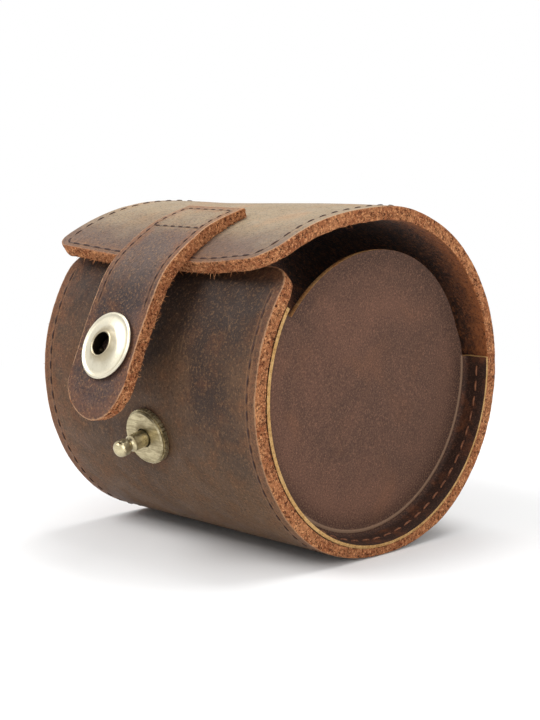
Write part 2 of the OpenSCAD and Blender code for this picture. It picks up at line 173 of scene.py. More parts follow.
# %% [markdown]
# Real leather is never quite even. The flap's near corner has lifted, its far side stands
# off in front and sags on top, the stud draws the leather in, and the whole sheet swells and
# dips by a tenth of a millimetre or two. All of it is added to the height over the bend line,
# so threads laid on the leather follow it too. Where the case rests, it has settled on the
# floor with a soft bend, not a sharp one.


# %% Carry a flat point round the case
def smooth(t):
    t = min(1.0, max(0.0, t))
    return t * t * (3 - 2 * t)


def share(value, low, high):
    """0 below low, 1 above high, and smooth between them."""
    return smooth((value - low) / (high - low))


NEAR_LIFT = 2.8 * MM
FAR_LIFT = 1.9 * MM
TOP_SAG = 1.1 * MM
LIFT_FROM_X = 12 * MM           # the sheet is lifted outside this, on either side
NEAR_LIFT_LEN = FLAP_FREE_LEN + 4 * MM                  # how far back from the flap's edge
FAR_LIFT_LEN = 26 * MM
SAG_START = (22 * MM, 42 * MM)  # from the flap's edge: where its top begins to sag, and sags fully
SAG_END = (50 * MM, 75 * MM)    # where that gets less again, and ends
SAG_FROM_X = 22 * MM
SAG_REACH = 45 * MM
SWELL = 0.16 * MM
SWELL_SIZE = 17                 # mm
SQUEEZE = CASE_R - AXIS.y       # how far the round sheet would reach into the floor
SQUEEZE_A = 42                  # degrees to either side of the lowest line
NEAR_FLOOR = 3 * MM
SETTLE = 0.3 * MM

stud_low, stud_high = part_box("stud_base")
STUD_R = stud_high.x
stud_middle = (0, (stud_low.y + stud_high.y) / 2, (stud_low.z + stud_high.z) / 2)
stud_a = math.degrees(math.atan2(stud_middle[2] - AXIS.y, stud_middle[1] - AXIS.x))
STUD_S = CASE_R * math.radians(360 + stud_a - FRONT_TOP_A)
DIMPLE = 0.55 * MM
DIMPLE_REACH = 4 * MM


def unevenness(x, s):
    """Height of the worn sheet over its even form."""
    from_stud = math.hypot(x, s - STUD_S) - STUD_R
    dimple = DIMPLE * (1 - smooth(from_stud / DIMPLE_REACH))
    swell = SWELL * noise.noise(Vector((x / MM / SWELL_SIZE, s / MM / SWELL_SIZE, 3.0)))
    from_edge = SHEET_S - s
    out = smooth((abs(x) - LIFT_FROM_X) / (HALF_LEN - LIFT_FROM_X))
    if x > 0:
        lift = NEAR_LIFT * out * smooth(1 - from_edge / NEAR_LIFT_LEN)
    else:
        lift = FAR_LIFT * out * max(0.0, 1 - from_edge / FAR_LIFT_LEN)
    ridge = share(from_edge, *SAG_START) * (1 - share(from_edge, *SAG_END))
    sag = TOP_SAG * smooth((SAG_FROM_X - x) / SAG_REACH) * ridge
    return swell + lift - sag - dimple


def on_sheet(x, s, h):
    """A point of the flat sheet, at height h over its outer face, carried round the case."""
    p, a = on_line(SHEET_LINE, s)
    squeeze = SQUEEZE * smooth(1 - abs(a - 270) / SQUEEZE_A) * (1 + h / WALL_T)
    p = p + (h + unevenness(x, s) - squeeze) * outward(a)
    if p.y < NEAR_FLOOR:
        p.y = (p.y + math.sqrt(p.y ** 2 + SETTLE ** 2)) / 2
    return Vector((x, p.x, p.y))


STRAP_NARROW = 10.3 / 11.5      # the worn strap's width over the model's
ROOT_NARROW = 0.03              # and this much less at its sewn end
ROOT_THIN = 0.3
ROOT_LEN = 14 * MM
ASKEW = (0.5 * MM, 1.4 * MM)    # to the right at the sewn end, and how far it runs left
ASKEW_S = (22 * MM, 26 * MM)    # where that begins, and over what length
HELD_R = 5.5 * MM               # the lock holds the leather in its place within this
HELD_FADE = 4 * MM
ROOT_NARROW_LEN = 40 * MM


def on_strap(x, s, h):
    """The same for the strap, which is thinner at its sewn end and hangs a little askew."""
    p, a = on_line(STRAP_LINE, s)
    h -= ROOT_THIN * (h + STRAP_T) * (1 - smooth(s / ROOT_LEN))
    p = p + h * outward(a)
    from_lock = math.hypot(x, s - LOCK_S)
    free = smooth((from_lock - HELD_R) / HELD_FADE)
    askew = ASKEW[0] - ASKEW[1] * smooth((s - ASKEW_S[0]) / ASKEW_S[1])
    narrow = STRAP_NARROW - ROOT_NARROW * (1 - smooth(s / ROOT_NARROW_LEN))
    return Vector((x * (1 + (narrow - 1) * free) + askew * free, p.x, p.y))


# %% [markdown]
# ## Helpers for meshes
# Each piece is drawn in a bmesh and handed over once. Its object stays at the origin, with
# its place in its mesh, because that is how the frame's own nodes are, and because a pattern
# that reads Object coordinates then keeps its place on the piece. Round pieces are spun from
# a line of points, as on a lathe.


# %% Hand a mesh over as a piece
def add_object(name, data):
    made = bpy.data.objects.new(name, data)
    bpy.context.scene.collection.objects.link(made)
    return made


def make_piece(name, bm, materials, body, smooth_angle=40):
    mesh = bpy.data.meshes.new(name)
    bm.to_mesh(mesh)
    bm.free()
    for material in materials:
        mesh.materials.append(material)
    mesh.shade_smooth()
    mesh.set_sharp_from_angle(angle=math.radians(smooth_angle))
    piece = add_object(name, mesh)
    if body:
        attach(piece, body)
    print(name, len(mesh.vertices), "vertices")
    return piece


def spun(points, axis, steps, merge, closed=False):
    """A line of points, open or closed, turned once round an axis through the origin."""
    bm = bmesh.new()
    ends = [bm.verts.new(p) for p in points]
    pairs = zip(ends, ends[1:] + ends[:1]) if closed else zip(ends, ends[1:])
    line = [bm.edges.new(pair) for pair in pairs]
    bmesh.ops.spin(bm, geom=ends + line, cent=(0, 0, 0), axis=axis,
                   angle=math.tau, steps=steps, use_merge=True)
    bmesh.ops.remove_doubles(bm, verts=bm.verts[:], dist=merge)
    return bm


# %% [markdown]
# ## Helpers for materials
# A finish is built from a few kinds of node again and again: noise in millimetres, a ramp
# that turns it into a mask, and a mix of two colours by a mask. Colours are written as they
# look on screen, from 0 to 255, and turned into the linear values that the shader wants.


# %% Colour and node helpers
def screen(r, g, b):
    """A colour as it looks on screen, as a linear colour."""
    linear = []
    for c in (r, g, b):
        c /= 255
        linear.append(c / 12.92 if c <= 0.04045 else ((c + 0.055) / 1.055) ** 2.4)
    return (*linear, 1.0)


class Finish:
    """A material under construction."""

    def __init__(self, name, roughness, metallic=0.0, specular=0.5):
        self.material = bpy.data.materials.new(name)
        self.material.use_nodes = True
        self.tree = self.material.node_tree
        self.shader = self.tree.nodes["Principled BSDF"]
        self.fill(self.shader, {
            "Roughness": roughness, "Metallic": metallic, "Specular IOR Level": specular})
        self.where = self.node("ShaderNodeTexCoord").outputs["Object"]
        self.tone = self.height = None

    def fill(self, node, inputs):
        """Links outputs to a node's sockets, or writes plain values on them."""
        for key, value in inputs.items():
            if hasattr(value, "is_linked"):
                self.tree.links.new(value, node.inputs[key])
            else:
                node.inputs[key].default_value = value

    def node(self, kind, inputs=None, **values):
        made = self.tree.nodes.new(kind)
        for key, value in values.items():
            setattr(made, key, value)
        self.fill(made, inputs or {})
        return made

    def pattern(self, kind, size_mm, stretch=(1, 1, 1), inputs=None, **values):
        """A texture of some kind whose lumps are about size_mm across."""
        scale = [k / (size_mm * MM) for k in stretch]
        mapping = self.node("ShaderNodeMapping", {"Vector": self.where, "Scale": scale})
        inputs = {"Vector": mapping.outputs["Vector"], "Scale": 1.0, **(inputs or {})}
        return self.node(kind, inputs, **values)

    def noise(self, size_mm, detail=3.0, rough=0.5, stretch=(1, 1, 1), distortion=0.0):
        inputs = {"Detail": detail, "Roughness": rough, "Distortion": distortion}
        return self.pattern("ShaderNodeTexNoise", size_mm, stretch, inputs).outputs["Fac"]

    def cells(self, size_mm):
        """Soft round cells, as in the grain of leather."""
        made = self.pattern("ShaderNodeTexVoronoi", size_mm, feature="SMOOTH_F1")
        return made.outputs["Distance"]

    def mask(self, value, low, high, out_low=0.0, out_high=1.0):
        """0 below low, 1 above high, and smooth between them."""
        return self.node("ShaderNodeMapRange", {
            "Value": value, "From Min": low, "From Max": high, "To Min": out_low,
            "To Max": out_high}, interpolation_type="SMOOTHSTEP").outputs["Result"]

    def math(self, operation, a, b=0.0):
        return self.node("ShaderNodeMath", {0: a, 1: b}, operation=operation).outputs["Value"]

    def vector(self, operation, a, b=(0, 0, 0)):
        return self.node("ShaderNodeVectorMath", {0: a, 1: b}, operation=operation).outputs

    def times(self, a, b):
        return self.math("MULTIPLY", a, b)

    def ragged(self, distance, by, *noise):
        """A distance made uneven with noise, so that what follows it gets a ragged edge."""
        return self.math("SUBTRACT", distance, self.times(self.noise(*noise), by))

    def mix(self, mask, a, b):
        return self.node("ShaderNodeMix", {"Factor": mask, 6: a, 7: b}, data_type="RGBA").outputs[2]

    def axis(self, letter):
        """One Object coordinate, in metres."""
        return self.node("ShaderNodeSeparateXYZ", {"Vector": self.where}).outputs[letter]

    def attribute(self, name):
        return self.node("ShaderNodeAttribute", attribute_name=name).outputs["Fac"]

    def bump(self, height, distance_mm, strength=1.0):
        """Adds a bump of that height over what is there already."""
        inputs = {"Distance": distance_mm * MM, "Strength": strength, "Height": height}
        if self.height is not None:
            inputs["Normal"] = self.height
        self.height = self.node("ShaderNodeBump", inputs).outputs["Normal"]
        self.fill(self.shader, {"Normal": self.height})

    def colour(self, value):
        self.tone = value
        self.fill(self.shader, {"Base Color": value})

    def tint(self, mask, strength, shade):
        """Lays a shade over the colour where the mask is, as strongly as it says."""
        self.colour(self.mix(self.times(mask, strength), self.tone, shade))

    def roughness(self, value):
        self.fill(self.shader, {"Roughness": value})


# %% [markdown]
# ## Finish: waxed grain leather
# The outer face is an oiled, waxed leather that turns lighter where it is bent or rubbed.
# Over the top its colour turns mauve, then khaki with tan patches, by height: partly the bent
# leather's own lighter tone and partly a painted sheen. High on the wall, under the flap, a
# painted shadow darkens it. Its colour runs from near black to orange brown in soft clouds,
# with fine pale specks and a close grain. An image would show its repeat, so the clouds are
# noise at several sizes. The attribute edge_mm holds the distance to the cut edge, and brings
# out the rubbed rim and the pressed groove that the stitches lie in. A thin painted highlight
# runs along the cut, the groove gets painted shade, and its lip a painted highlight.

# %% Grain leather
DARK = screen(50, 36, 29)
BROWN = screen(84, 61, 44)
RUST = screen(128, 80, 50)
TAN = screen(168, 126, 86)
KHAKI = screen(158, 141, 114)
MAUVE = screen(112, 95, 86)
NEARLY_BLACK = screen(28, 19, 15)

# Heights over the floor between which a tone comes in, in metres, and places along X
MAUVE_Z = (0.060, 0.077)
KHAKI_Z = (0.0745, 0.0825)
TAN_Z = (0.075, 0.082)
FLAP_SHADOW_Z = (0.046, 0.068)
PALE_Z = (0.006, 0.042)
RUBBED_Z = (0.066, 0.078)
FAR_X = (-0.040, -0.020)


def grain_leather(name, dark, middle, patch, edge_glow=0.6, speckle=0.4, low_rust=0.35, khaki=0.8,
                  flap_shadow=0.0, top_glow=0.06, far_rust=0.0, rim_light=0.6):
    f = Finish(name, roughness=0.62, specular=0.22)
    clouds = f.mask(f.noise(26, 4, 0.6, distortion=0.5), 0.36, 0.66)
    f.colour(f.mix(clouds, dark, middle))
    patches = f.mask(f.noise(7, 6, 0.7), 0.48, 0.76)
    f.tint(patches, patch, RUST)
    # Over the top the colour turns to a greyish mauve, then to khaki with tan patches: partly the
    # bent leather's own lighter tone, partly a painted sheen where the top faces the light.
    height = f.axis("Z")
    unevenly = f.times(f.math("SUBTRACT", f.noise(15, 5, 0.6), 0.5), 0.012)
    ragged_z = f.math("ADD", height, unevenly)
    f.tint(f.mask(ragged_z, *MAUVE_Z), 0.85 * khaki, MAUVE)
    f.tint(f.mask(ragged_z, *KHAKI_Z), khaki, KHAKI)
    tan = f.times(f.mask(f.noise(13, 4, 0.6), 0.50, 0.70), f.mask(height, *TAN_Z))
    f.tint(tan, 0.55 * khaki, TAN)
    # Painted shadow under the flap: high up on the wall the colour is darkened.
    f.tint(f.mask(ragged_z, *FLAP_SHADOW_Z), flap_shadow, screen(38, 27, 23))
    low = f.mask(ragged_z, *PALE_Z, 1.0, 0.0)
    f.tint(low, low_rust, screen(116, 86, 56))
    far = f.mask(f.axis("X"), *FAR_X, far_rust, 0.0)
    f.tint(far, f.mask(f.noise(4, 5, 0.7), 0.35, 0.65), screen(122, 76, 50))
    edge = f.attribute("edge_mm")
    by_edge = f.mask(f.ragged(edge, 9.0, 3.0, 6, 0.75), -3.4, 0.8, 1.0, 0.0)
    worn = f.times(by_edge, f.mask(f.noise(1.3, 5, 0.75), 0.34, 0.58, 0.35, 1.0))
    f.tint(worn, f.mask(height, *RUBBED_Z, edge_glow, top_glow), RUST)
    specks = f.mask(f.noise(0.62, 4, 0.85), 0.50, 0.66)
    f.tint(specks, speckle, TAN)
    pits = f.mask(f.noise(0.58, 4, 0.85), 0.36, 0.51, 1.0, 0.0)
    f.tint(pits, 0.62, NEARLY_BLACK)
    scratches = f.mask(f.noise(1.3, 4, 0.7, stretch=(1, 0.12, 0.12), distortion=0.6), 0.60, 0.75)
    f.tint(scratches, 0.3, TAN)
    # Painted highlight: a thin pale line along the top of the cut edge.
    crest_highlight = f.mask(f.ragged(edge, -0.9, 0.9, 3, 0.6), 0.60, 1.05, 1.0, 0.0)
    f.tint(crest_highlight, rim_light, screen(178, 136, 100))
    # Painted shade darkens the stitch groove, and a painted highlight lightens its lip.
    from_row = f.attribute("row_mm")
    in_row = f.mask(from_row, 0.0, 0.45, 1.0, 0.0)
    f.tint(in_row, 0.4, NEARLY_BLACK)
    groove_lip_highlight = f.times(f.mask(from_row, 0.3, 0.55), f.mask(from_row, 0.55, 0.9, 1.0, 0.0))
    f.tint(groove_lip_highlight, 0.14, TAN)
    f.roughness(f.mask(f.noise(7, 5, 0.6), 0.3, 0.7, 0.52, 0.70))
    f.bump(in_row, -0.25, 0.8)
    f.bump(f.noise(5, 4, 0.6), 0.35, 0.5)
    f.bump(f.cells(0.75), 0.09, 0.6)
    f.bump(f.noise(0.4, 3, 0.6), 0.07, 0.8)
    return f.material


def cup_leather(name):
    """The thin matt leather of the cups, darker over the flange, with painted shade towards the
    bend and a painted highlight on the crease beside it.
    """
    f = Finish(name, roughness=0.72, specular=0.16)
    clouds = f.mask(f.noise(22, 4, 0.6, distortion=0.4), 0.34, 0.66)
    f.colour(f.mix(clouds, screen(80, 58, 48), screen(98, 69, 56)))
    glow = f.mask(f.noise(16, 3, 0.5, distortion=0.8), 0.52, 0.72)
    f.tint(glow, 0.18, screen(128, 84, 56))
    edge = f.attribute("edge_mm")
    flange = f.attribute("flange")
    stains = f.mask(f.noise(4.5, 5, 0.7), 0.48, 0.70)
    flange_tone = f.mix(stains, screen(40, 24, 18), screen(88, 50, 30))
    # Painted shade: the disc darkens over its last 6 mm towards the bend.
    f.tint(f.attribute("by_bend"), 0.7, screen(44, 30, 25))
    f.colour(f.mix(flange, f.tone, flange_tone))
    by_edge = f.mask(f.ragged(edge, 6.0, 5, 4, 0.6), -2.5, 3.5, 0.6, 0.0)
    f.colour(f.mix(by_edge, f.tone, screen(54, 40, 34)))
    specks = f.mask(f.noise(0.42, 4, 0.85), 0.48, 0.64)
    few = f.mask(flange, 0.0, 1.0, 0.55, 0.2)
    f.tint(specks, few, screen(146, 106, 84))
    pits = f.mask(f.noise(0.40, 4, 0.85), 0.34, 0.52, 1.0, 0.0)
    f.tint(pits, 0.6, screen(40, 27, 22))
    # Painted highlight: a pale line along the crease beside the bend.
    f.tint(f.mask(f.attribute("crease"), 0.3, 0.9), 0.5, screen(156, 126, 102))
    f.bump(f.noise(4, 4, 0.6), 0.25, 0.5)
    f.bump(f.cells(0.6), 0.07, 0.6)
    f.bump(f.noise(0.35, 3, 0.6), 0.07, 0.8)
    return f.material


wall_grain = grain_leather("wall_leather", DARK, BROWN, 0.35, edge_glow=0.4, speckle=0.3,
                           khaki=0.0, flap_shadow=0.85, far_rust=0.5)
flap_grain = grain_leather("flap_leather", DARK, BROWN, 0.35, edge_glow=0.5)
strap_grain = grain_leather("strap_leather", screen(42, 31, 31), screen(80, 60, 55), 0.42,
                            edge_glow=0.36, speckle=0.45, low_rust=0.0,
                            khaki=0.7, top_glow=0.7, rim_light=0.75)
cup_grain = cup_leather("thin_leather")
print("grain leather has", len(wall_grain.node_tree.nodes), "nodes")

# %% [markdown]
# ## Finish: raw cut edges and suede
# A cut through thick leather shows its fibres, in orange brown with dark gaps between them.
# The inner face is the flesh side, a dark red brown nap that is lighter by the cut, where its
# fibres show and painted light stands in for the light that falls in there. Both get
# their roughness from noise at the size of the fibres, and the nap gets a little sheen.


# %% Raw edge and suede
def raw_edge(name, dark, middle, light, inner=None, contrast=1.0):
    f = Finish(name, roughness=0.85, specular=0.12)
    if inner:
        middle = f.mix(f.attribute("flange"), inner, middle)
    tone = f.mask(f.noise(5, 4, 0.6), 0.35, 0.7, 0.0, 0.4)
    f.colour(f.mix(tone, middle, light))
    gaps = f.mask(f.noise(0.8, 4, 0.85), 0.40, 0.54, contrast, 0.0)
    f.colour(f.mix(gaps, f.tone, dark))
    hairs = f.mask(f.noise(0.7, 4, 0.85), 0.50, 0.62, 0.0, contrast)
    f.colour(f.mix(hairs, f.tone, light))
    f.bump(f.noise(0.7, 4, 0.85), 0.6, 1.0)
    f.bump(f.noise(1.6, 3, 0.6), 0.4, 0.6)
    return f.material


def suede(name, dark, light, fibre_colour, by_edge):
    f = Finish(name, roughness=0.95, specular=0.08)
    brushed = f.mask(f.noise(3.5, 5, 0.7, stretch=(1, 1, 0.6)), 0.38, 0.68)
    f.colour(f.mix(brushed, dark, light))
    if by_edge:
        # Lighter by the cut: the nap's fibres show there, and painted light stands in for the light
        # that falls in at the opening.
        near_cut_fibres_and_light = f.mask(f.ragged(f.attribute("edge_mm"), 6.0, 2.5, 5, 0.7), -2.5, 4.0, 0.85, 0.0)
        f.colour(f.mix(near_cut_fibres_and_light, f.tone, fibre_colour))
    tufts = f.mask(f.noise(0.9, 5, 0.85), 0.49, 0.64)
    f.tint(tufts, 0.75, fibre_colour)
    gaps = f.mask(f.noise(0.8, 5, 0.85), 0.38, 0.52, 1.0, 0.0)
    f.tint(gaps, 0.75, NEARLY_BLACK)
    f.fill(f.shader, {"Sheen Weight": 0.08, "Sheen Roughness": 0.5})
    f.bump(f.noise(0.6, 4, 0.8), 0.4, 0.9)
    return f.material


edge_raw = raw_edge("raw_edge", screen(70, 34, 21), screen(154, 92, 58), screen(220, 158, 108))
edge_thin = raw_edge("raw_thin_edge", screen(138, 92, 50), screen(200, 156, 98),
                     screen(226, 190, 132), screen(170, 112, 66), 0.6)
suede_dark = suede("suede_dark", screen(48, 27, 18), screen(92, 54, 33), screen(158, 94, 54), True)
suede_pillow = suede("suede_pillow", screen(46, 30, 22), screen(78, 52, 36),
                     screen(112, 74, 50), False)

# %% [markdown]
# ## Cut the leather flat
# The sheet starts as a grid. Rows crowd towards a rounded end, so that the outline turns in
# even steps, and columns crowd towards the sides, where the groove and the rubbed rim need
# them. The grid is extruded down by the leather's thickness, its rim is divided and roughened,
# and its sharp edges get a small bevel. Only then is every vertex carried round the bend line.

# %% Cut and bend a piece of leather
RIM_CUTS = 5
RIM_BEVEL = 0.3 * MM
SIDE_MARKS = [0, 0.6, 1.4, 2.3, 3.0, 3.7, 4.8, 6.5]     # columns near a side, in mm from it
COLUMN_STEP = 1.7 * MM          # and about that far apart further in
ROW_STEP = 0.9 * MM
CORNER_STEPS = 10
RIM_WIDTH = 0.7                 # mm from the cut, within which a piece is roughened
CUT_ROUGH = 0.34 * MM           # how rough the cut itself is, and the faces beside it
FACE_ROUGH = 0.10 * MM
CUT_WAVE = 0.15 * MM            # and the slow waves of the knife
WAVE_LEN = 7 * MM


def column_shares(half_w, side_marks, step):
    """Places of the columns from -1 to 1 across the full width."""
    marks = [m * MM for m in side_marks]
    inner = half_w - marks[-1]
    count = max(1, round(inner / step))
    marks += [marks[-1] + inner * i / count for i in range(1, count + 1)]
    right = [1 - m / half_w for m in marks]
    return [-x for x in right] + right[-2::-1]


def flat_grid(bm, columns, rows):
    """The vertices of a new grid, each with its column and its row."""
    wide, high = columns - 1, rows - 1
    made = bmesh.ops.create_grid(bm, x_segments=wide, y_segments=high, size=0.5)
    return [(v, round((v.co.x + 0.5) * wide), round((v.co.y + 0.5) * high)) for v in made["verts"]]


def row_marks(s0, s1, corner, at_start):
    """Places of the rows, crowded into the rounded corners at one end."""
    quarter = [math.pi / 2 * i / CORNER_STEPS for i in range(CORNER_STEPS + 1)]
    turn = [corner * (1 - math.cos(a)) for a in quarter]
    count = max(1, round((s1 - s0 - corner) / ROW_STEP))
    rest = [corner + (s1 - s0 - corner) * i / count for i in range(1, count + 1)]
    marks = turn + rest
    return [s0 + m for m in marks] if at_start else [s1 - m for m in reversed(marks)]


def corner_width(half_w, corner, d):
    """Half the width at a distance d from an end with round corners."""
    if d >= corner:
        return half_w
    return half_w - corner + math.sqrt(max(0.0, corner ** 2 - (corner - d) ** 2))


def rim_distance(x, d, half_w, corner):
    """Distance from the outline, for a point at a distance d from the rounded end."""
    if d < corner and abs(x) > half_w - corner:
        return corner - math.hypot(corner - d, abs(x) - half_w + corner)
    return min(half_w - abs(x), d)


def rough_noise(p, size, seed):
    return noise.noise(Vector((p.x / size, p.y / size, p.z / size + seed)))


def thicken(bm, thickness, is_closed_cut):
    """Gives a flat grid its thickness, divides its rim and bevels the rim's edges."""
    made = bmesh.ops.extrude_face_region(bm, geom=bm.faces[:])
    for v in made["geom"]:
        if isinstance(v, bmesh.types.BMVert):
            v.co.z -= thickness
    bmesh.ops.recalc_face_normals(bm, faces=bm.faces[:])
    upright = [e for e in bm.edges if abs(e.verts[0].co.z - e.verts[1].co.z) > thickness / 2]
    bmesh.ops.subdivide_edges(bm, edges=upright, cuts=RIM_CUTS, use_grid_fill=True)
    sharp = [e for e in bm.edges if len(e.link_faces) == 2 and e.calc_face_angle() > 1.2
             and abs(e.verts[0].co.z - e.verts[1].co.z) < thickness / 9
             and not is_closed_cut(e)]
    bmesh.ops.bevel(bm, geom=sharp, offset=RIM_BEVEL, segments=2, profile=0.5,
                    affect="EDGES", material=-1)


def finish_leather(bm, thickness, distance, from_row, place, seed):
    """Roughens the rim, sets materials, edge_mm and row_mm, and bends the flat piece."""
    edge_mm = bm.verts.layers.float.new("edge_mm")
    row_mm = bm.verts.layers.float.new("row_mm")
    for face in bm.faces:
        up = face.normal.z
        face.material_index = 0 if up > 0.9 else 2 if up < -0.9 else 1
    for v in bm.verts:
        v[edge_mm] = max(0.0, distance(v.co.x, v.co.y)) / MM
        v[row_mm] = min(9.0, from_row(v.co.x, v.co.y) / MM)
    moved = []
    for v in bm.verts:
        x, s, h = v.co
        if v[edge_mm] < RIM_WIDTH:
            gain = CUT_ROUGH if -thickness + 0.4 * MM < h < -0.4 * MM else FACE_ROUGH
            x += gain * rough_noise(v.co, 1.0 * MM, seed)
            x += CUT_WAVE * rough_noise(v.co, WAVE_LEN, seed + 5)
            s += gain * rough_noise(v.co, 1.1 * MM, seed + 9)
            if h < -thickness + 0.2 * MM:
                h += 0.2 * MM * rough_noise(v.co, 1.0 * MM, seed + 3)
        moved.append(place(x, s, h))
    for v, p in zip(bm.verts, moved):
        v.co = p
    bmesh.ops.recalc_face_normals(bm, faces=bm.faces[:])


def cut_sheet(name, s0, s1, corners, rounded_start, from_row, body, grain):
    """A part of the main sheet, with round corners at one end and a straight cut at the other."""
    bm = bmesh.new()
    rows = row_marks(s0, s1, max(corners), rounded_start)
    shares = column_shares(HALF_LEN, SIDE_MARKS, COLUMN_STEP)
    for v, column, row in flat_grid(bm, len(shares), len(rows)):
        s = rows[row]
        d = s - s0 if rounded_start else s1 - s
        place = (1 + shares[column]) / 2
        left, right = (corner_width(HALF_LEN, corner, d) for corner in corners)
        v.co = (place * (left + right) - left, s, 0)
    cut = s1 if rounded_start else s0

    def at_cut(edge):
        return all(abs(v.co.y - cut) < 1e-6 for v in edge.verts)

    thicken(bm, WALL_T, at_cut)

    def distance(x, s):
        corner = corners[0] if x < 0 else corners[1]
        return rim_distance(x, s - s0 if rounded_start else s1 - s, HALF_LEN, corner)

    finish_leather(bm, WALL_T, distance, from_row, on_sheet, 1.0 if rounded_start else 4.0)
    return make_piece(name, bm, [grain, edge_raw, suede_dark], body)


# %% [markdown]
# ## The main sheet: wall and flap
# On the real case the wall and the flap are one sheet that bends at a fold line in the back.
# A piece that follows two bodies is blended by height, and the front wall reaches as high as
# the flap does, so one mesh can't be blended. The sheet is cut just under the fold instead:
# the wall rides on the case, and the flap, with the fold in it, is attached to no body.

# %% Wall and flap
SEAM_S = FOLD_S - 8 * MM
WALL_CORNER = 6.5 * MM
FLAP_CORNERS = (4.5 * MM, 8 * MM)
SIDE_ROW = 2.8 * MM             # from the stitch rows to the sides and to the flap's edge
END_ROW = 1.6 * MM


def rounded_row(s_side, s_end):
    """The flap's stitch row, down its far side, round its end, and up its near side."""
    points = [(SIDE_ROW - HALF_LEN, s_side)]
    for side, corner in zip((-1, 1), FLAP_CORNERS):
        for i in range(11)[::-side]:
            a = math.radians(9 * i)
            points.append((side * (HALF_LEN - corner + (corner - SIDE_ROW) * math.cos(a)),
                           s_end - corner + (corner - END_ROW) * math.sin(a)))
    return points + [(HALF_LEN - SIDE_ROW, s_side)]


FLAP_ROW = [Vector(q) for q in rounded_row(SEAM_S, SHEET_S)]


def from_line(x, s, line):
    """Distance of a flat point from a line of flat points."""
    q = Vector((x, s))
    best = 1.0
    for a, b in zip(line, line[1:]):
        way = b - a
        t = min(1.0, max(0.0, (q - a).dot(way) / way.length_squared))
        best = min(best, (q - a - t * way).length)
    return best


def from_wall_row(x, s):
    return max(abs(HALF_LEN - abs(x) - SIDE_ROW), WALL_CORNER - s)


wall = cut_sheet("wall_leather", 0, SEAM_S, (WALL_CORNER, WALL_CORNER), True,
                 from_wall_row, "case", wall_grain)
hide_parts("body_wall")

flap = cut_sheet("flap_leather", SEAM_S, SHEET_S, FLAP_CORNERS, False,
                 lambda x, s: from_line(x, s, FLAP_ROW), None, flap_grain)
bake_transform(flap)
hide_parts("lid_flap")

# %% [markdown]
# ## The strap
# The strap is cut flat as well, with a round tip and a hole for the lock. A grid can't have a
# round hole, so a square block of it is taken out and bridged to a circle with as many
# corners. At the tip the rows turn into arcs, which keeps the quads even where the grid ends.

# %% Strap
TIP_R = STRAP_W / 2 + 0.5 * MM
HOLE_R = 5.25 * MM
HOLE_BLOCK = 6.6 * MM
TIP_ROWS = 12
STRAP_MARKS = [0, 0.4, 0.9, 1.5, 2.1, 2.7, 3.6]         # columns near a side, in mm from it
STRAP_COLUMN_STEP = 0.88 * MM
STRAP_ROW_STEP = 0.8 * MM
LOCK_FLAT = Vector((0, LOCK_S))
STRAP_ROW_X = STRAP_W / 2 - 2.1 * MM
STRAP_ROW_END = LOCK_S - 10.5 * MM
BOX_ROWS = (2.4 * MM, 13.6 * MM)
tip_s = STRAP_S - TIP_R
tip_from = math.degrees(math.acos(STRAP_W / 2 / TIP_R))


def strap_flat(share, row, rows):
    """A flat point of the strap, by its share of the width and its row."""
    if row < len(rows):
        return share * STRAP_W / 2, rows[row]
    t = (row - len(rows) + 1) / TIP_ROWS
    side = math.radians(tip_from + t * (45 - tip_from))
    even = math.sin(math.radians(45 * share)) / math.sin(math.radians(45))
    x = (share + t * (even - share)) * TIP_R * math.cos(side)
    bulge = t * (math.cos(math.radians(45 * share)) - math.cos(math.radians(45)))
    return x, tip_s + TIP_R * (math.sin(side) + bulge)


def strap_distance(x, s):
    if s > tip_s:
        return TIP_R - math.hypot(x, s - tip_s)
    return min(STRAP_W / 2 - abs(x), s)


def from_strap_row(x, s):
    """Distance of a flat point of the strap from its nearest stitch row."""
    beside = max(abs(abs(x) - STRAP_ROW_X), BOX_ROWS[0] - s, s - STRAP_ROW_END)
    across = min(abs(s - row) for row in BOX_ROWS) if abs(x) < STRAP_ROW_X else 9 * MM
    return min(beside, across)


def from_lock(p):
    return (p.xy - LOCK_FLAT).length


def cut_strap():
    bm = bmesh.new()
    start_s = tip_s + TIP_R * math.sin(math.radians(tip_from))
    count = round(start_s / STRAP_ROW_STEP)
    rows = [start_s * i / count for i in range(count + 1)]
    shares = column_shares(STRAP_W / 2, STRAP_MARKS, STRAP_COLUMN_STEP)
    for v, column, row in flat_grid(bm, len(shares), len(rows) + TIP_ROWS):
        v.co = (*strap_flat(shares[column], row, rows), 0)
    block = [f for f in bm.faces if from_lock(f.calc_center_median()) < HOLE_BLOCK]
    bmesh.ops.delete(bm, geom=block, context="FACES")
    inner_loop = [e for e in bm.edges if e.is_boundary
                  and all(strap_distance(*v.co.xy) > 1 * MM for v in e.verts)]
    hole = bmesh.ops.create_circle(
        bm, segments=len(inner_loop), radius=HOLE_R, matrix=Matrix.Translation((0, LOCK_S, 0)))
    ring = [e for v in hole["verts"] for e in v.link_edges]
    bridged = bmesh.ops.bridge_loops(bm, edges=inner_loop + list(set(ring)))
    across = [e for e in bridged["edges"] if not e.is_boundary
              and any(abs(from_lock(v.co) - HOLE_R) < 1e-5 for v in e.verts)]
    bmesh.ops.subdivide_edges(bm, edges=across, cuts=3, use_grid_fill=True)
    thicken(bm, STRAP_T, lambda edge: from_lock(edge.verts[0].co) < HOLE_R + 0.2 * MM)
    finish_leather(bm, STRAP_T, strap_distance, from_strap_row, on_strap, 7.0)
    return make_piece("strap_leather_piece", bm, [strap_grain, edge_raw, suede_dark],
                      None)


strap = cut_strap()
along = outward(strap_a1 + 90)
along = Vector((0, along.x, along.y))
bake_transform(strap)
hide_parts("strap_sewn_end", "strap_tongue")

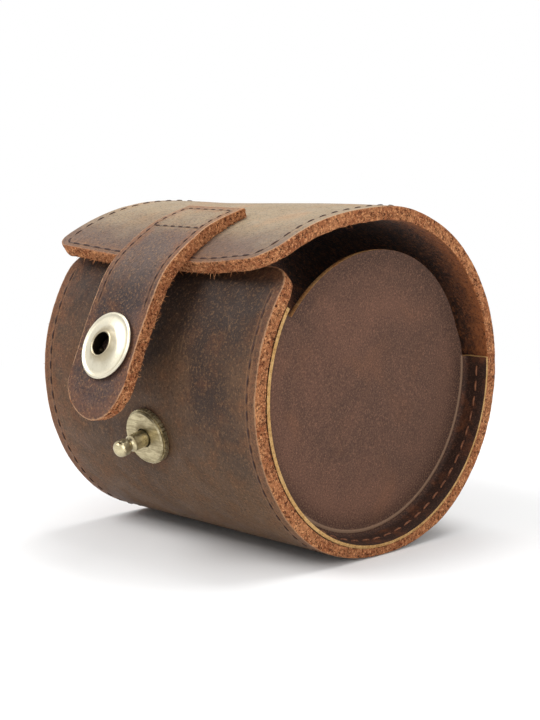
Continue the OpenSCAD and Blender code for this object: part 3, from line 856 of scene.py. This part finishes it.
# %% [markdown]
# ## The end cups
# A cup is thin leather pressed over a round former: a flat disc, a soft bend and a flange that
# is sewn inside the wall's end. Over the top the disc has no flange and stands free, and it
# leans out a little. It is made from a circle that is extruded ring by ring, out over the
# disc, round the bend and along the flange, and Solidify gives it its thickness. The flange is
# pared thinner towards its edge, so that the wall's end doesn't get too thick there.

# %% Cups
CUP_T = 1.5 * MM
CUP_BEND_R = 1.3 * MM
CUP_PROUD = 0.3 * MM
DISC_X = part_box("end_cup_right")[0].x + CUP_T
DISC_R = 34.5 * MM
DISC_BACK = 1.5 * MM
DISC_DROP = 2.5 * MM
FLANGE_FRONT_A = 146.0
FLANGE_BACK_A = 5.0
DISC_LEAN = 1.8 * MM
CUP_STEPS = 240
BEND_STEPS = 7
FLANGE_STEPS = 4
DISC_RINGS = 22
CREASE_SHARES = [0.972, 0.986, 1.0]     # rings that carry the crease beside the bend
CUP_FIRST_R = 1.5 * MM          # the circle that the first ring grows from
FREE_BLEND_A = 14               # degrees over which the free top meets the flange in the back
FREE_THIN = 0.2                 # the share of the thickness that is lost at the free top
FLANGE_THIN = 0.45              # and at the flange's edge


def free_radius(a):
    """Radius of the disc's free top, seen from the case's axis."""
    offset = Vector((DISC_BACK, -DISC_DROP))
    along_ray = offset.dot(outward(a))
    free = along_ray + math.sqrt(DISC_R ** 2 - offset.length_squared + along_ray ** 2)
    bend = FLANGE_R - CUP_T - CUP_BEND_R
    near_flange = 1 - smooth((a - FLANGE_BACK_A) / FREE_BLEND_A)
    return free + (bend - free) * near_flange


def add_modifier(piece, name, kind, **values):
    made = piece.modifiers.new(name, kind)
    for key, value in values.items():
        setattr(made, key, value)


def cup_piece(name, node, side):
    bm = bmesh.new()
    edge_mm, flange, crease, thin, by_bend = [
        bm.verts.layers.float.new(k) for k in ("edge_mm", "flange", "crease", "thin", "by_bend")]
    step = 360 / CUP_STEPS
    bend = FLANGE_R - CUP_T - CUP_BEND_R
    first = CUP_FIRST_R
    ring = bmesh.ops.create_circle(bm, segments=CUP_STEPS, radius=first, cap_ends=True)["verts"]
    angle_of = {v: i * step for i, v in enumerate(ring)}

    def is_free(a):
        return FLANGE_BACK_A < a < FLANGE_FRONT_A

    def place(v, x, r):
        a = angle_of[v]
        p = AXIS + r * outward(a)
        v.co = (x, p.x, p.y)

    def next_ring(ring):
        """Grows the open ring's edge once more, and gives the new vertices."""
        keep = set(ring)
        chosen = [e for e in bm.edges if e.is_boundary and all(v in keep for v in e.verts)]
        made = bmesh.ops.extrude_edge_only(bm, edges=chosen)["geom"]
        new = [v for v in made if isinstance(v, bmesh.types.BMVert)]
        for v in new:
            old = next(e.other_vert(v) for e in v.link_edges if e.other_vert(v) in keep)
            angle_of[v] = angle_of[old]
        return new

    for v in ring:
        place(v, DISC_X, first)
    current = ring
    for share in [i / DISC_RINGS for i in range(1, DISC_RINGS)] + CREASE_SHARES:
        current = next_ring(current)
        for v in current:
            a = angle_of[v]
            rim = free_radius(a) if is_free(a) else bend
            place(v, DISC_X, first + (rim - first) * share)
            if share > 0.98 and not is_free(a):
                v[crease] = 1.0
            if share == 1.0 and is_free(a):
                v[thin] = FREE_THIN
    current = [v for v in current if not is_free(angle_of[v])]
    for i in range(1, BEND_STEPS + 1):
        current = next_ring(current)
        t = math.pi / 2 * i / BEND_STEPS
        for v in current:
            v[crease] = 0.0
            place(v, DISC_X + CUP_BEND_R * (1 - math.cos(t)), bend + CUP_BEND_R * math.sin(t))
    x0 = DISC_X + CUP_BEND_R
    x1 = HALF_LEN + CUP_PROUD
    for i in range(1, FLANGE_STEPS + 1):
        current = next_ring(current)
        skive = FLANGE_THIN * (i / FLANGE_STEPS) ** 2
        for v in current:
            v[thin] = skive
            place(v, x0 + (x1 - x0) * i / FLANGE_STEPS, FLANGE_R - CUP_T * (1 - skive))
    # The free top leans out, most at its highest point, and the whole disc swells a little.
    for v in bm.verts:
        a = angle_of[v]
        r = (Vector((v.co.y, v.co.z)) - AXIS).length
        height = (v.co.z - AXIS.y) / DISC_R
        v[edge_mm] = (free_radius(a) - r) / MM if is_free(a) else 12.0
        v[flange] = smooth((r - bend) / CUP_BEND_R) if not is_free(a) else 0.0
        v[by_bend] = smooth(1 - (bend - r) / (6 * MM)) if not is_free(a) else 0.0
        if v.co.x < DISC_X + 0.01 * MM:
            before = v.co.copy()
            lean = DISC_LEAN * smooth(height) ** 1.3
            swell = 0.4 * MM * (1 - smooth(r / bend))
            v.co.x += lean + swell + 0.22 * MM * v[crease]
            v.co.x += 0.12 * MM * noise.noise(before / (9 * MM))
    bmesh.ops.remove_doubles(bm, verts=bm.verts[:], dist=0.002 * MM)
    bmesh.ops.recalc_face_normals(bm, faces=bm.faces[:])
    # An open skin has no inside, so its faces may have come out turned inwards.
    disc = [f for f in bm.faces if f.calc_center_median().x < DISC_X + 1 * MM]
    if sum(f.normal.x < 0 for f in disc) > 100:
        bmesh.ops.reverse_faces(bm, faces=bm.faces[:])
    if side < 0:
        for v in bm.verts:
            v.co.x = -v.co.x
        bmesh.ops.reverse_faces(bm, faces=bm.faces[:])
    full = [1 - v[thin] for v in bm.verts]
    piece = make_piece(name, bm, [cup_grain, suede_dark, edge_thin], "case", 60)
    group = piece.vertex_groups.new(name="thickness")
    for i, weight in enumerate(full):
        group.add([i], weight, "REPLACE")
    add_modifier(piece, "thickness", "SOLIDIFY", thickness=CUP_T, offset=-1, use_even_offset=True,
                 vertex_group="thickness", material_offset=1, material_offset_rim=2)
    add_modifier(piece, "worn_edges", "BEVEL", width=0.15 * MM, segments=2, limit_method="ANGLE",
                 angle_limit=math.radians(60))
    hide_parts(node)


cup_piece("cup_leather_right", "end_cup_right", 1)
cup_piece("cup_leather_left", "end_cup_left", -1)

# %% [markdown]
# ## Threads
# The sheet is sewn to the cups round both ends, and the flap and the strap carry a row along
# their edges. Waxed thread lies on the leather between two holes and dips into it at both. A
# row is a line on the flat leather. It is walked at an even pitch, and every stitch is a
# small sphere that is drawn out along the row and carried round with the leather.

# %% Finish of the thread
def waxed_thread(name, shade, light):
    f = Finish(name, roughness=0.6, specular=0.25)
    f.colour(f.mix(f.mask(f.noise(0.5, 3, 0.6, stretch=(1, 1, 0.4)), 0.3, 0.7), shade, light))
    f.bump(f.noise(0.3, 3, 0.6), 0.08, 0.7)
    return f.material


dark_thread = waxed_thread("dark_thread", screen(38, 23, 20), screen(70, 46, 38))
brown_thread = waxed_thread("brown_thread", screen(82, 46, 32), screen(140, 92, 64))

# %% Sew along a line of flat points
PITCH = 3.9 * MM
HOLE_GAP = 1.1 * MM
THREAD_R = 0.27 * MM
THREAD_SINK = 0.30 * MM


def walk(points, pitch=PITCH):
    """Cuts a line into stitches, each with its start, its middle and its end."""
    points = [Vector(q) for q in points]
    far = [0.0]
    for a, b in zip(points, points[1:]):
        far.append(far[-1] + (b - a).length)

    def at(d):
        i = next((k for k in range(1, len(far)) if far[k] >= d), len(far) - 1)
        return points[i - 1].lerp(points[i], (d - far[i - 1]) / (far[i] - far[i - 1]))

    count = max(1, round(far[-1] / pitch))
    pitch = far[-1] / count
    gap = HOLE_GAP / 2
    return [(at(i * pitch + gap), at((i + 0.5) * pitch), at((i + 1) * pitch - gap))
            for i in range(count)]


def sew(bm, stitches, place):
    for start, middle, end in stitches:
        made = bmesh.ops.create_uvsphere(bm, u_segments=6, v_segments=6, radius=1)
        way = (end - start).normalized()
        across = Vector((-way.y, way.x))
        bow = 2 * middle - (start + end) / 2
        for v in made["verts"]:
            x, y, z = v.co
            round_r = math.hypot(x, y)
            full = round_r ** -0.45 if round_r > 1e-4 else 0.0
            t = (z + 1) / 2
            q = (1 - t) ** 2 * start + 2 * t * (1 - t) * bow + t ** 2 * end
            q = q + across * (x * full * THREAD_R)
            v.co = place(q.x, q.y, THREAD_R * (0.8 * y * full + 0.15) - THREAD_SINK * z ** 4)


def finish_thread(name, bm, body, finish=None):
    bmesh.ops.recalc_face_normals(bm, faces=bm.faces[:])
    return make_piece(name, bm, [finish or dark_thread], body)


# %% Rows of the wall, the flap and the strap
wall_bm = bmesh.new()
for x in (SIDE_ROW - HALF_LEN, HALF_LEN - SIDE_ROW):
    sew(wall_bm, walk([(x, WALL_CORNER), (x, SEAM_S)]), on_sheet)
finish_thread("wall_stitches", wall_bm, "case")

flap_bm = bmesh.new()
sew(flap_bm, walk(FLAP_ROW), on_sheet)
flap_stitches = finish_thread("flap_stitches", flap_bm, None)
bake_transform(flap_stitches)

strap_bm = bmesh.new()
for x in (-STRAP_ROW_X, STRAP_ROW_X):
    sew(strap_bm, walk([(x, BOX_ROWS[0]), (x, STRAP_ROW_END)], 3.0 * MM), on_strap)
for s in BOX_ROWS:
    sew(strap_bm, walk([(-STRAP_ROW_X, s), (STRAP_ROW_X, s)], 3.2 * MM), on_strap)
strap_stitches = finish_thread("strap_stitches", strap_bm, None)
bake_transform(strap_stitches)

# %% Rows inside the cups' flanges
FLANGE_IN_R = FLANGE_R - CUP_T
FLANGE_ROW = 2.7 * MM
arc_length = FLANGE_IN_R * math.radians(360 + FLANGE_BACK_A - FLANGE_FRONT_A)
for name, side in (("cup_stitches_right", 1), ("cup_stitches_left", -1)):

    def on_flange(x, s, h):
        p = AXIS + (FLANGE_IN_R - h) * outward(FLANGE_FRONT_A + math.degrees(s / FLANGE_IN_R))
        return Vector((side * x, p.x, p.y))

    row_x = HALF_LEN + CUP_PROUD - FLANGE_ROW
    bm = bmesh.new()
    sew(bm, walk([(row_x, 2 * MM), (row_x, arc_length - 2 * MM)]), on_flange)
    finish_thread(name, bm, "case", brown_thread)

# %% [markdown]
# ## Loose fibres
# A knife leaves short fibres standing along thick leather, and they catch the light at its
# outline. Each one is a thin cone from a point of the rim, aimed outwards and a little down.
# The seed is fixed, so they stand in the same places every time.


# %% Fibres along the cut edges
def grow_fibres(name, count, rim_point, thickness, place, seed, body):
    """Fibres on a rim. rim_point gives a flat point and the flat direction out of the piece."""
    random.seed(seed)
    bm = bmesh.new()
    for _ in range(count):
        q, out = rim_point(random.random())
        depth = random.uniform(0.1, 1.0) ** 0.6
        base = place(q.x, q.y, -thickness * depth)
        aim = (out + Vector((random.uniform(-0.8, 0.8), random.uniform(-0.8, 0.8)))).normalized()
        length = random.uniform(0.4, 1.0) ** 2 * 1.5 * MM
        tip_q = q + aim * length
        tip = place(tip_q.x, tip_q.y, -thickness * depth + random.uniform(-0.7, 0.35) * length)
        turn = (tip - base).to_track_quat("Z", "X").to_matrix().to_4x4()
        bmesh.ops.create_cone(
            bm, segments=3, radius1=random.uniform(0.06, 0.11) * MM, radius2=0.02 * MM,
            depth=(tip - base).length, cap_ends=True,
            matrix=Matrix.Translation((base + tip) / 2) @ turn)
    return make_piece(name, bm, [fibre], body)


fibre = Finish("fibre", roughness=0.8, specular=0.2)
shade = fibre.mask(fibre.noise(3, 3, 0.6), 0.35, 0.65)
fibre.colour(fibre.mix(shade, screen(124, 70, 40), screen(198, 138, 92)))
fibre = fibre.material


def side_rim(half_w, s0, s1):
    def rim_point(u):
        near = u < 0.5
        s = s0 + (s1 - s0) * (2 * u % 1)
        x = half_w if near else -half_w
        return Vector((x, s)), Vector((1.0 if near else -1.0, 0.0))
    return rim_point


def end_rim(half_w, s):
    return lambda u: (Vector((half_w * (2 * u - 1), s)), Vector((0.0, 1.0)))


wall_rim = side_rim(HALF_LEN, WALL_CORNER, SEAM_S)
flap_rim = side_rim(HALF_LEN, SEAM_S, SHEET_S - FLAP_CORNERS[1])
flap_end = end_rim(HALF_LEN - FLAP_CORNERS[1], SHEET_S)
strap_rim = side_rim(STRAP_W / 2, 0, tip_s)
grow_fibres("wall_fibres", 420, wall_rim, WALL_T, on_sheet, 11, "case")
flap_side = grow_fibres("flap_side_fibres", 260, flap_rim, WALL_T, on_sheet, 12, None)
flap_front = grow_fibres("flap_front_fibres", 220, flap_end, WALL_T, on_sheet, 13, None)
strap_fibres = grow_fibres("strap_fibres", 520, strap_rim, STRAP_T, on_strap, 14, None)
for piece in (flap_side, flap_front):
    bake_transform(piece)
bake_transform(strap_fibres)

# %% [markdown]
# ## The pillow
# The watch is closed round a pillow: a suede tube filled with foam, with a round of suede
# sewn into each end. It is turned as one skin from a profile that bulges in the middle and
# draws in at the two seams, and its wrinkles are noise that grows towards the seams.

# %% Pillow
pillow_low, pillow_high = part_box("pillow_cover")
PILLOW_HALF = pillow_high.x
PILLOW_R = pillow_high.y
PILLOW_END_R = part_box("pillow_end_right")[1].y
PILLOW_AXIS = Vector((0.0, 0.0, (pillow_low.z + pillow_high.z) / 2))
PILLOW_STEPS = 96
SEAM_DEPTH = 0.8 * MM
WRINKLE = 0.25 * MM
SEAM_WRINKLE = 0.45 * MM


def pillow_profile():
    """Half of the profile, from the middle of the pillow to the centre of its end."""
    points = []
    for i in range(25):
        t = i / 24
        drop = (PILLOW_R - PILLOW_END_R) * t ** 2.2
        seam = SEAM_DEPTH * smooth((t - 0.93) / 0.07)
        drawn_in = 1 - 0.02 * smooth((t - 0.9) / 0.1)
        points.append((PILLOW_HALF * drawn_in * t, PILLOW_R - drop - seam))
    for i in range(1, 13):
        t = i / 12
        dome = 1.3 * MM * (1 - (1 - t) ** 2) - 1.6 * MM * (1 - t)
        points.append((PILLOW_HALF - 1.0 * MM + dome * 0.6, (PILLOW_END_R - SEAM_DEPTH) * (1 - t)))
    return points


def wrinkle(v, length, count):
    """Noise of some length in mm along the pillow, and with about that many folds round it."""
    turned = v.co.normalized()
    return noise.noise(Vector((v.co.x / MM / length, count * turned.y, count * turned.z)))


half = pillow_profile()
profile = [(-x, r) for x, r in reversed(half[1:])] + half
bm = spun([(x, r, 0) for x, r in profile], (1, 0, 0), PILLOW_STEPS, 0.01 * MM)
for v in bm.verts:
    near_seam = smooth((abs(v.co.x) / PILLOW_HALF - 0.45) / 0.5)
    out = Vector((0, v.co.y, v.co.z))
    if out.length > 1 * MM:
        v.co += out.normalized() * (
            WRINKLE * wrinkle(v, 14, 9) + SEAM_WRINKLE * near_seam * wrinkle(v, 25, 16))
    v.co += PILLOW_AXIS
bmesh.ops.recalc_face_normals(bm, faces=bm.faces[:])
pillow = make_piece("pillow_suede", bm, [suede_pillow], "pillow", 60)
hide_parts("pillow_core", "pillow_cover", "pillow_end_left", "pillow_end_right")

# %% [markdown]
# ## Metal
# The stud and the lock are turned from brass and plated in a pale satin finish. The frame's
# own solids carry their full form, so they only get a finish each, with turning marks, cloudy
# tarnish, painted shade round the middle, and a near black of painted shade for what
# lies inside the hole. The cap is the one exception. It is pressed
# like a trumpet: from a rolled rim its face runs in and rises to a collar round the hole.
# So it is turned again here, from its profile, round the axis that it slides along.


# %% Finishes of the metal pieces
AXIS_DIR = joint_along["cap_pull"].normalized()


def metal(name, light, dark, rough_low, rough_high, tarnish=0.5, brushed=0.0,
          centre=None, ring_mm=(0, 0)):
    f = Finish(name, roughness=rough_low, metallic=1.0)
    clouds = f.mask(f.noise(3.2, 5, 0.65), 0.38, 0.72)
    f.colour(light)
    f.tint(clouds, tarnish, dark)
    spots = f.mask(f.noise(0.8, 4, 0.7), 0.60, 0.75)
    f.tint(spots, 0.25, dark)
    if brushed:
        lines = f.mask(f.noise(0.55, 4, 0.75, stretch=(0.12, 1, 1)), 0.40, 0.62)
        f.tint(lines, brushed, dark)
    if centre is not None:
        # Painted shade in the corner round the middle: darker near the axis, fading out between the
        # two radii of ring_mm.
        away = f.vector("SUBTRACT", f.where, centre)["Vector"]
        cross = f.vector("CROSS_PRODUCT", away, AXIS_DIR)["Vector"]
        ragged = f.ragged(f.vector("LENGTH", cross)["Value"], -0.0008, 1.5, 3, 0.6)
        ring_shade = f.mask(ragged, ring_mm[0] * MM, ring_mm[1] * MM, 1.0, 0.0)
        f.tint(ring_shade, 0.75, dark)
    f.roughness(f.mask(f.noise(1.6, 5, 0.7), 0.3, 0.7, rough_low, rough_high))
    f.bump(f.noise(0.25, 3, 0.6, stretch=(0.15, 1, 1)), 0.03 + 0.03 * bool(brushed), 0.6)
    return f.material


lock_point, lock_a = on_line(STRAP_LINE, LOCK_S)
LOCK_POINT = Vector((0, lock_point.x, lock_point.y))
pale_brass = metal("pale_brass", screen(216, 209, 188), screen(142, 128, 100), 0.30, 0.46, 0.3,
                   centre=LOCK_POINT, ring_mm=(3.6, 5.8))
stud_face = metal("stud_face", screen(196, 184, 150), screen(112, 98, 68), 0.34, 0.50, 0.5, 0.55,
                  centre=stud_middle, ring_mm=(2.3, 3.4))
stud_brass = metal("stud_brass", screen(206, 194, 158), screen(128, 112, 78), 0.26, 0.40, 0.6, 0.3)
dark_brass = metal("dark_brass", screen(140, 120, 84), screen(84, 68, 46), 0.32, 0.50, 0.8)
# Painted shade: a near black for the housing, the balls and the inside of the cap's hole, which lie
# in shade.
hole_shade_metal = metal("hole_shade_metal", screen(46, 38, 28), screen(20, 16, 12), 0.45, 0.60, 0.8)
spring_steel = metal("spring_steel", screen(150, 150, 148), screen(110, 108, 104), 0.25, 0.40)
for finish, names in (
        (stud_face, ["stud_base"]), (stud_brass, ["stud_post"]),
        (dark_brass, ["lock_ring_nut", "stud_washer", "stud_screw"]),
        (hole_shade_metal, ["lock_housing", "lock_balls"]),
        (spring_steel, ["lock_spring"])):
    for node in names:
        mesh = frame["nodes"][node].data
        mesh.materials.clear()
        mesh.materials.append(finish)

# %% The cap of the lock
CAP_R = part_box("lock_cap")[1].x
CAP_STEPS = 96
COLLAR_R = 4            # mm: the profile keeps its radii inside this one
FACE_SHARE = (CAP_R - 4.4 * MM) / 4.5                   # and outside it the rim comes in by 0.4 mm
HOLE_INSIDE = 2.73 * MM
# Radius and height over the strap, in mm, from inside the hole out, round the rim and back
cap_profile = [
    (2.72, -2.6), (2.68, 2.30), (2.74, 2.62), (2.95, 2.80), (3.22, 2.78), (3.50, 2.55),
    (3.85, 2.15), (4.30, 1.78), (4.90, 1.48), (5.70, 1.27), (6.60, 1.15), (7.25, 1.10),
    (7.50, 1.14), (7.75, 1.27), (8.00, 1.34), (8.25, 1.28), (8.43, 1.12), (8.50, 0.95),
    (8.43, 0.78), (8.25, 0.64), (8.00, 0.56), (6.60, 0.55), (5.20, 0.62), (4.30, 1.00),
    (3.60, 1.60), (3.30, 1.20), (3.24, -2.6)]
points = [(min(r, COLLAR_R) * MM + max(0, r - COLLAR_R) * FACE_SHARE, 0, h * MM)
          for r, h in cap_profile]
bm = spun(points, (0, 0, 1), CAP_STEPS, 0.005 * MM, closed=True)
normal = Vector((0, *outward(lock_a)))
turn = normal.to_track_quat("Z", "X").to_matrix().to_4x4()
bmesh.ops.transform(bm, matrix=Matrix.Translation(LOCK_POINT) @ turn, verts=bm.verts[:])
bmesh.ops.recalc_face_normals(bm, faces=bm.faces[:])
# Faces inside the hole get the near black of painted shade.
for face in bm.faces:
    from_axis = (face.calc_center_median() - LOCK_POINT).cross(normal).length
    face.material_index = 1 if from_axis < HOLE_INSIDE else 0
cap = make_piece("lock_cap_pressed", bm, [pale_brass, hole_shade_metal], "cap", 50)
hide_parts("lock_cap")
print("metal pieces that keep the frame's shapes:",
      [n for n in frame["nodes"] if n.startswith(("lock", "stud")) and n != "lock_cap"])

# %% [markdown]
# ## Camera, floor and light
# The camera stands where the photographer stood, close to the case with a long lens. The
# floor and the background are plain and white to the camera, and glossy rays see the same,
# so the brass has something pale to reflect. A large soft lamp from the upper left models
# the leather, a weaker one fills the shade on the right, and a third lights the top from behind.

# %% Camera
CAM_AZIMUTH = 45.72
CAM_ELEVATION = 7.815
CAM_DISTANCE = 405.6 * MM
CAM_TARGET = Vector((1.01, -0.76, 46.374)) * MM
FOCAL_PX = 1600
IMAGE_H = 720
SENSOR = 36.0
SHIFT_PX = (-1.6, -10.8)

az, el = math.radians(CAM_AZIMUTH), math.radians(CAM_ELEVATION)
back = Vector((math.sin(az) * math.cos(el), -math.cos(az) * math.cos(el), math.sin(el)))
camera = add_object("camera", bpy.data.cameras.new("camera"))
camera.location = CAM_TARGET + CAM_DISTANCE * back
camera.rotation_mode = "QUATERNION"
camera.rotation_quaternion = (-back).to_track_quat("-Z", "Y")
camera.data.sensor_width = SENSOR
camera.data.lens = FOCAL_PX / IMAGE_H * SENSOR
camera.data.shift_x, camera.data.shift_y = (k / IMAGE_H for k in SHIFT_PX)
camera.data.clip_start = 0.01
camera.data.clip_end = 50
bpy.context.scene.camera = camera

# %% Floor, background and lamps
bpy.context.scene.view_settings.view_transform = "Standard"
FLOOR_SIZE = 6.0
SHADOW_REACH = 0.14


def white_to_camera(tree, lit, white):
    """Shows white to camera, glossy and transmission rays, and the lit shader to all others."""
    path = tree.nodes.new("ShaderNodeLightPath")
    seen = path.outputs["Is Camera Ray"]
    for ray in ("Is Glossy Ray", "Is Transmission Ray"):
        either = tree.nodes.new("ShaderNodeMath")
        either.operation = "MAXIMUM"
        tree.links.new(seen, either.inputs[0])
        tree.links.new(path.outputs[ray], either.inputs[1])
        seen = either.outputs[0]
    mix = tree.nodes.new("ShaderNodeMixShader")
    for value, socket in zip((seen, lit, white), mix.inputs):
        tree.links.new(value, socket)
    end = next(n for n in tree.nodes if n.type in ("OUTPUT_WORLD", "OUTPUT_MATERIAL"))
    tree.links.new(mix.outputs[0], end.inputs["Surface"])


world = bpy.data.worlds.new("world")
bpy.context.scene.world = world
world.use_nodes = True
dim = world.node_tree.nodes["Background"]
bright = world.node_tree.nodes.new("ShaderNodeBackground")
for background, strength in ((dim, 0.42), (bright, 1.0)):
    background.inputs["Color"].default_value = (1, 1, 1, 1)
    background.inputs["Strength"].default_value = strength
white_to_camera(world.node_tree, dim.outputs[0], bright.outputs[0])

floor_bm = bmesh.new()
bmesh.ops.create_grid(floor_bm, x_segments=1, y_segments=1, size=FLOOR_SIZE / 2)
floor_mesh = bpy.data.meshes.new("floor")
floor_bm.to_mesh(floor_mesh)
floor_bm.free()
floor = add_object("floor", floor_mesh)
floor.location.z = -0.02 * MM

# Round the case the floor is a matt white that takes its shadow. Further out it glows white.
paper = Finish("floor", roughness=0.9)
paper.colour((0.86, 0.86, 0.86, 1))
glow = paper.node("ShaderNodeEmission", {"Strength": 1.0}).outputs[0]
away = paper.vector("LENGTH", paper.where)["Value"]
fade = paper.mask(away, SHADOW_REACH, SHADOW_REACH * 2.2)
lit = paper.shader.outputs[0]
both = paper.node("ShaderNodeMixShader", {"Fac": fade, 1: lit, 2: glow}).outputs[0]
white_to_camera(paper.tree, lit, both)
floor_mesh.materials.append(paper.material)


def lamp(name, place, aim, power, size):
    light = bpy.data.lights.new(name, "AREA")
    light.energy = power
    light.shape = "RECTANGLE"
    light.size, light.size_y = size
    made = add_object(name, light)
    made.location = place
    made.rotation_mode = "QUATERNION"
    made.rotation_quaternion = (Vector(aim) - Vector(place)).to_track_quat("-Z", "Y")


MIDDLE = (0, 0, 0.045)
lamp("key", (-0.35, -0.75, 0.85), MIDDLE, 9.0, (0.6, 0.6))
lamp("fill", (0.85, -0.30, 0.40), MIDDLE, 4.0, (0.6, 0.6))
lamp("top", (0.05, 0.25, 0.95), MIDDLE, 6.0, (0.8, 0.5))
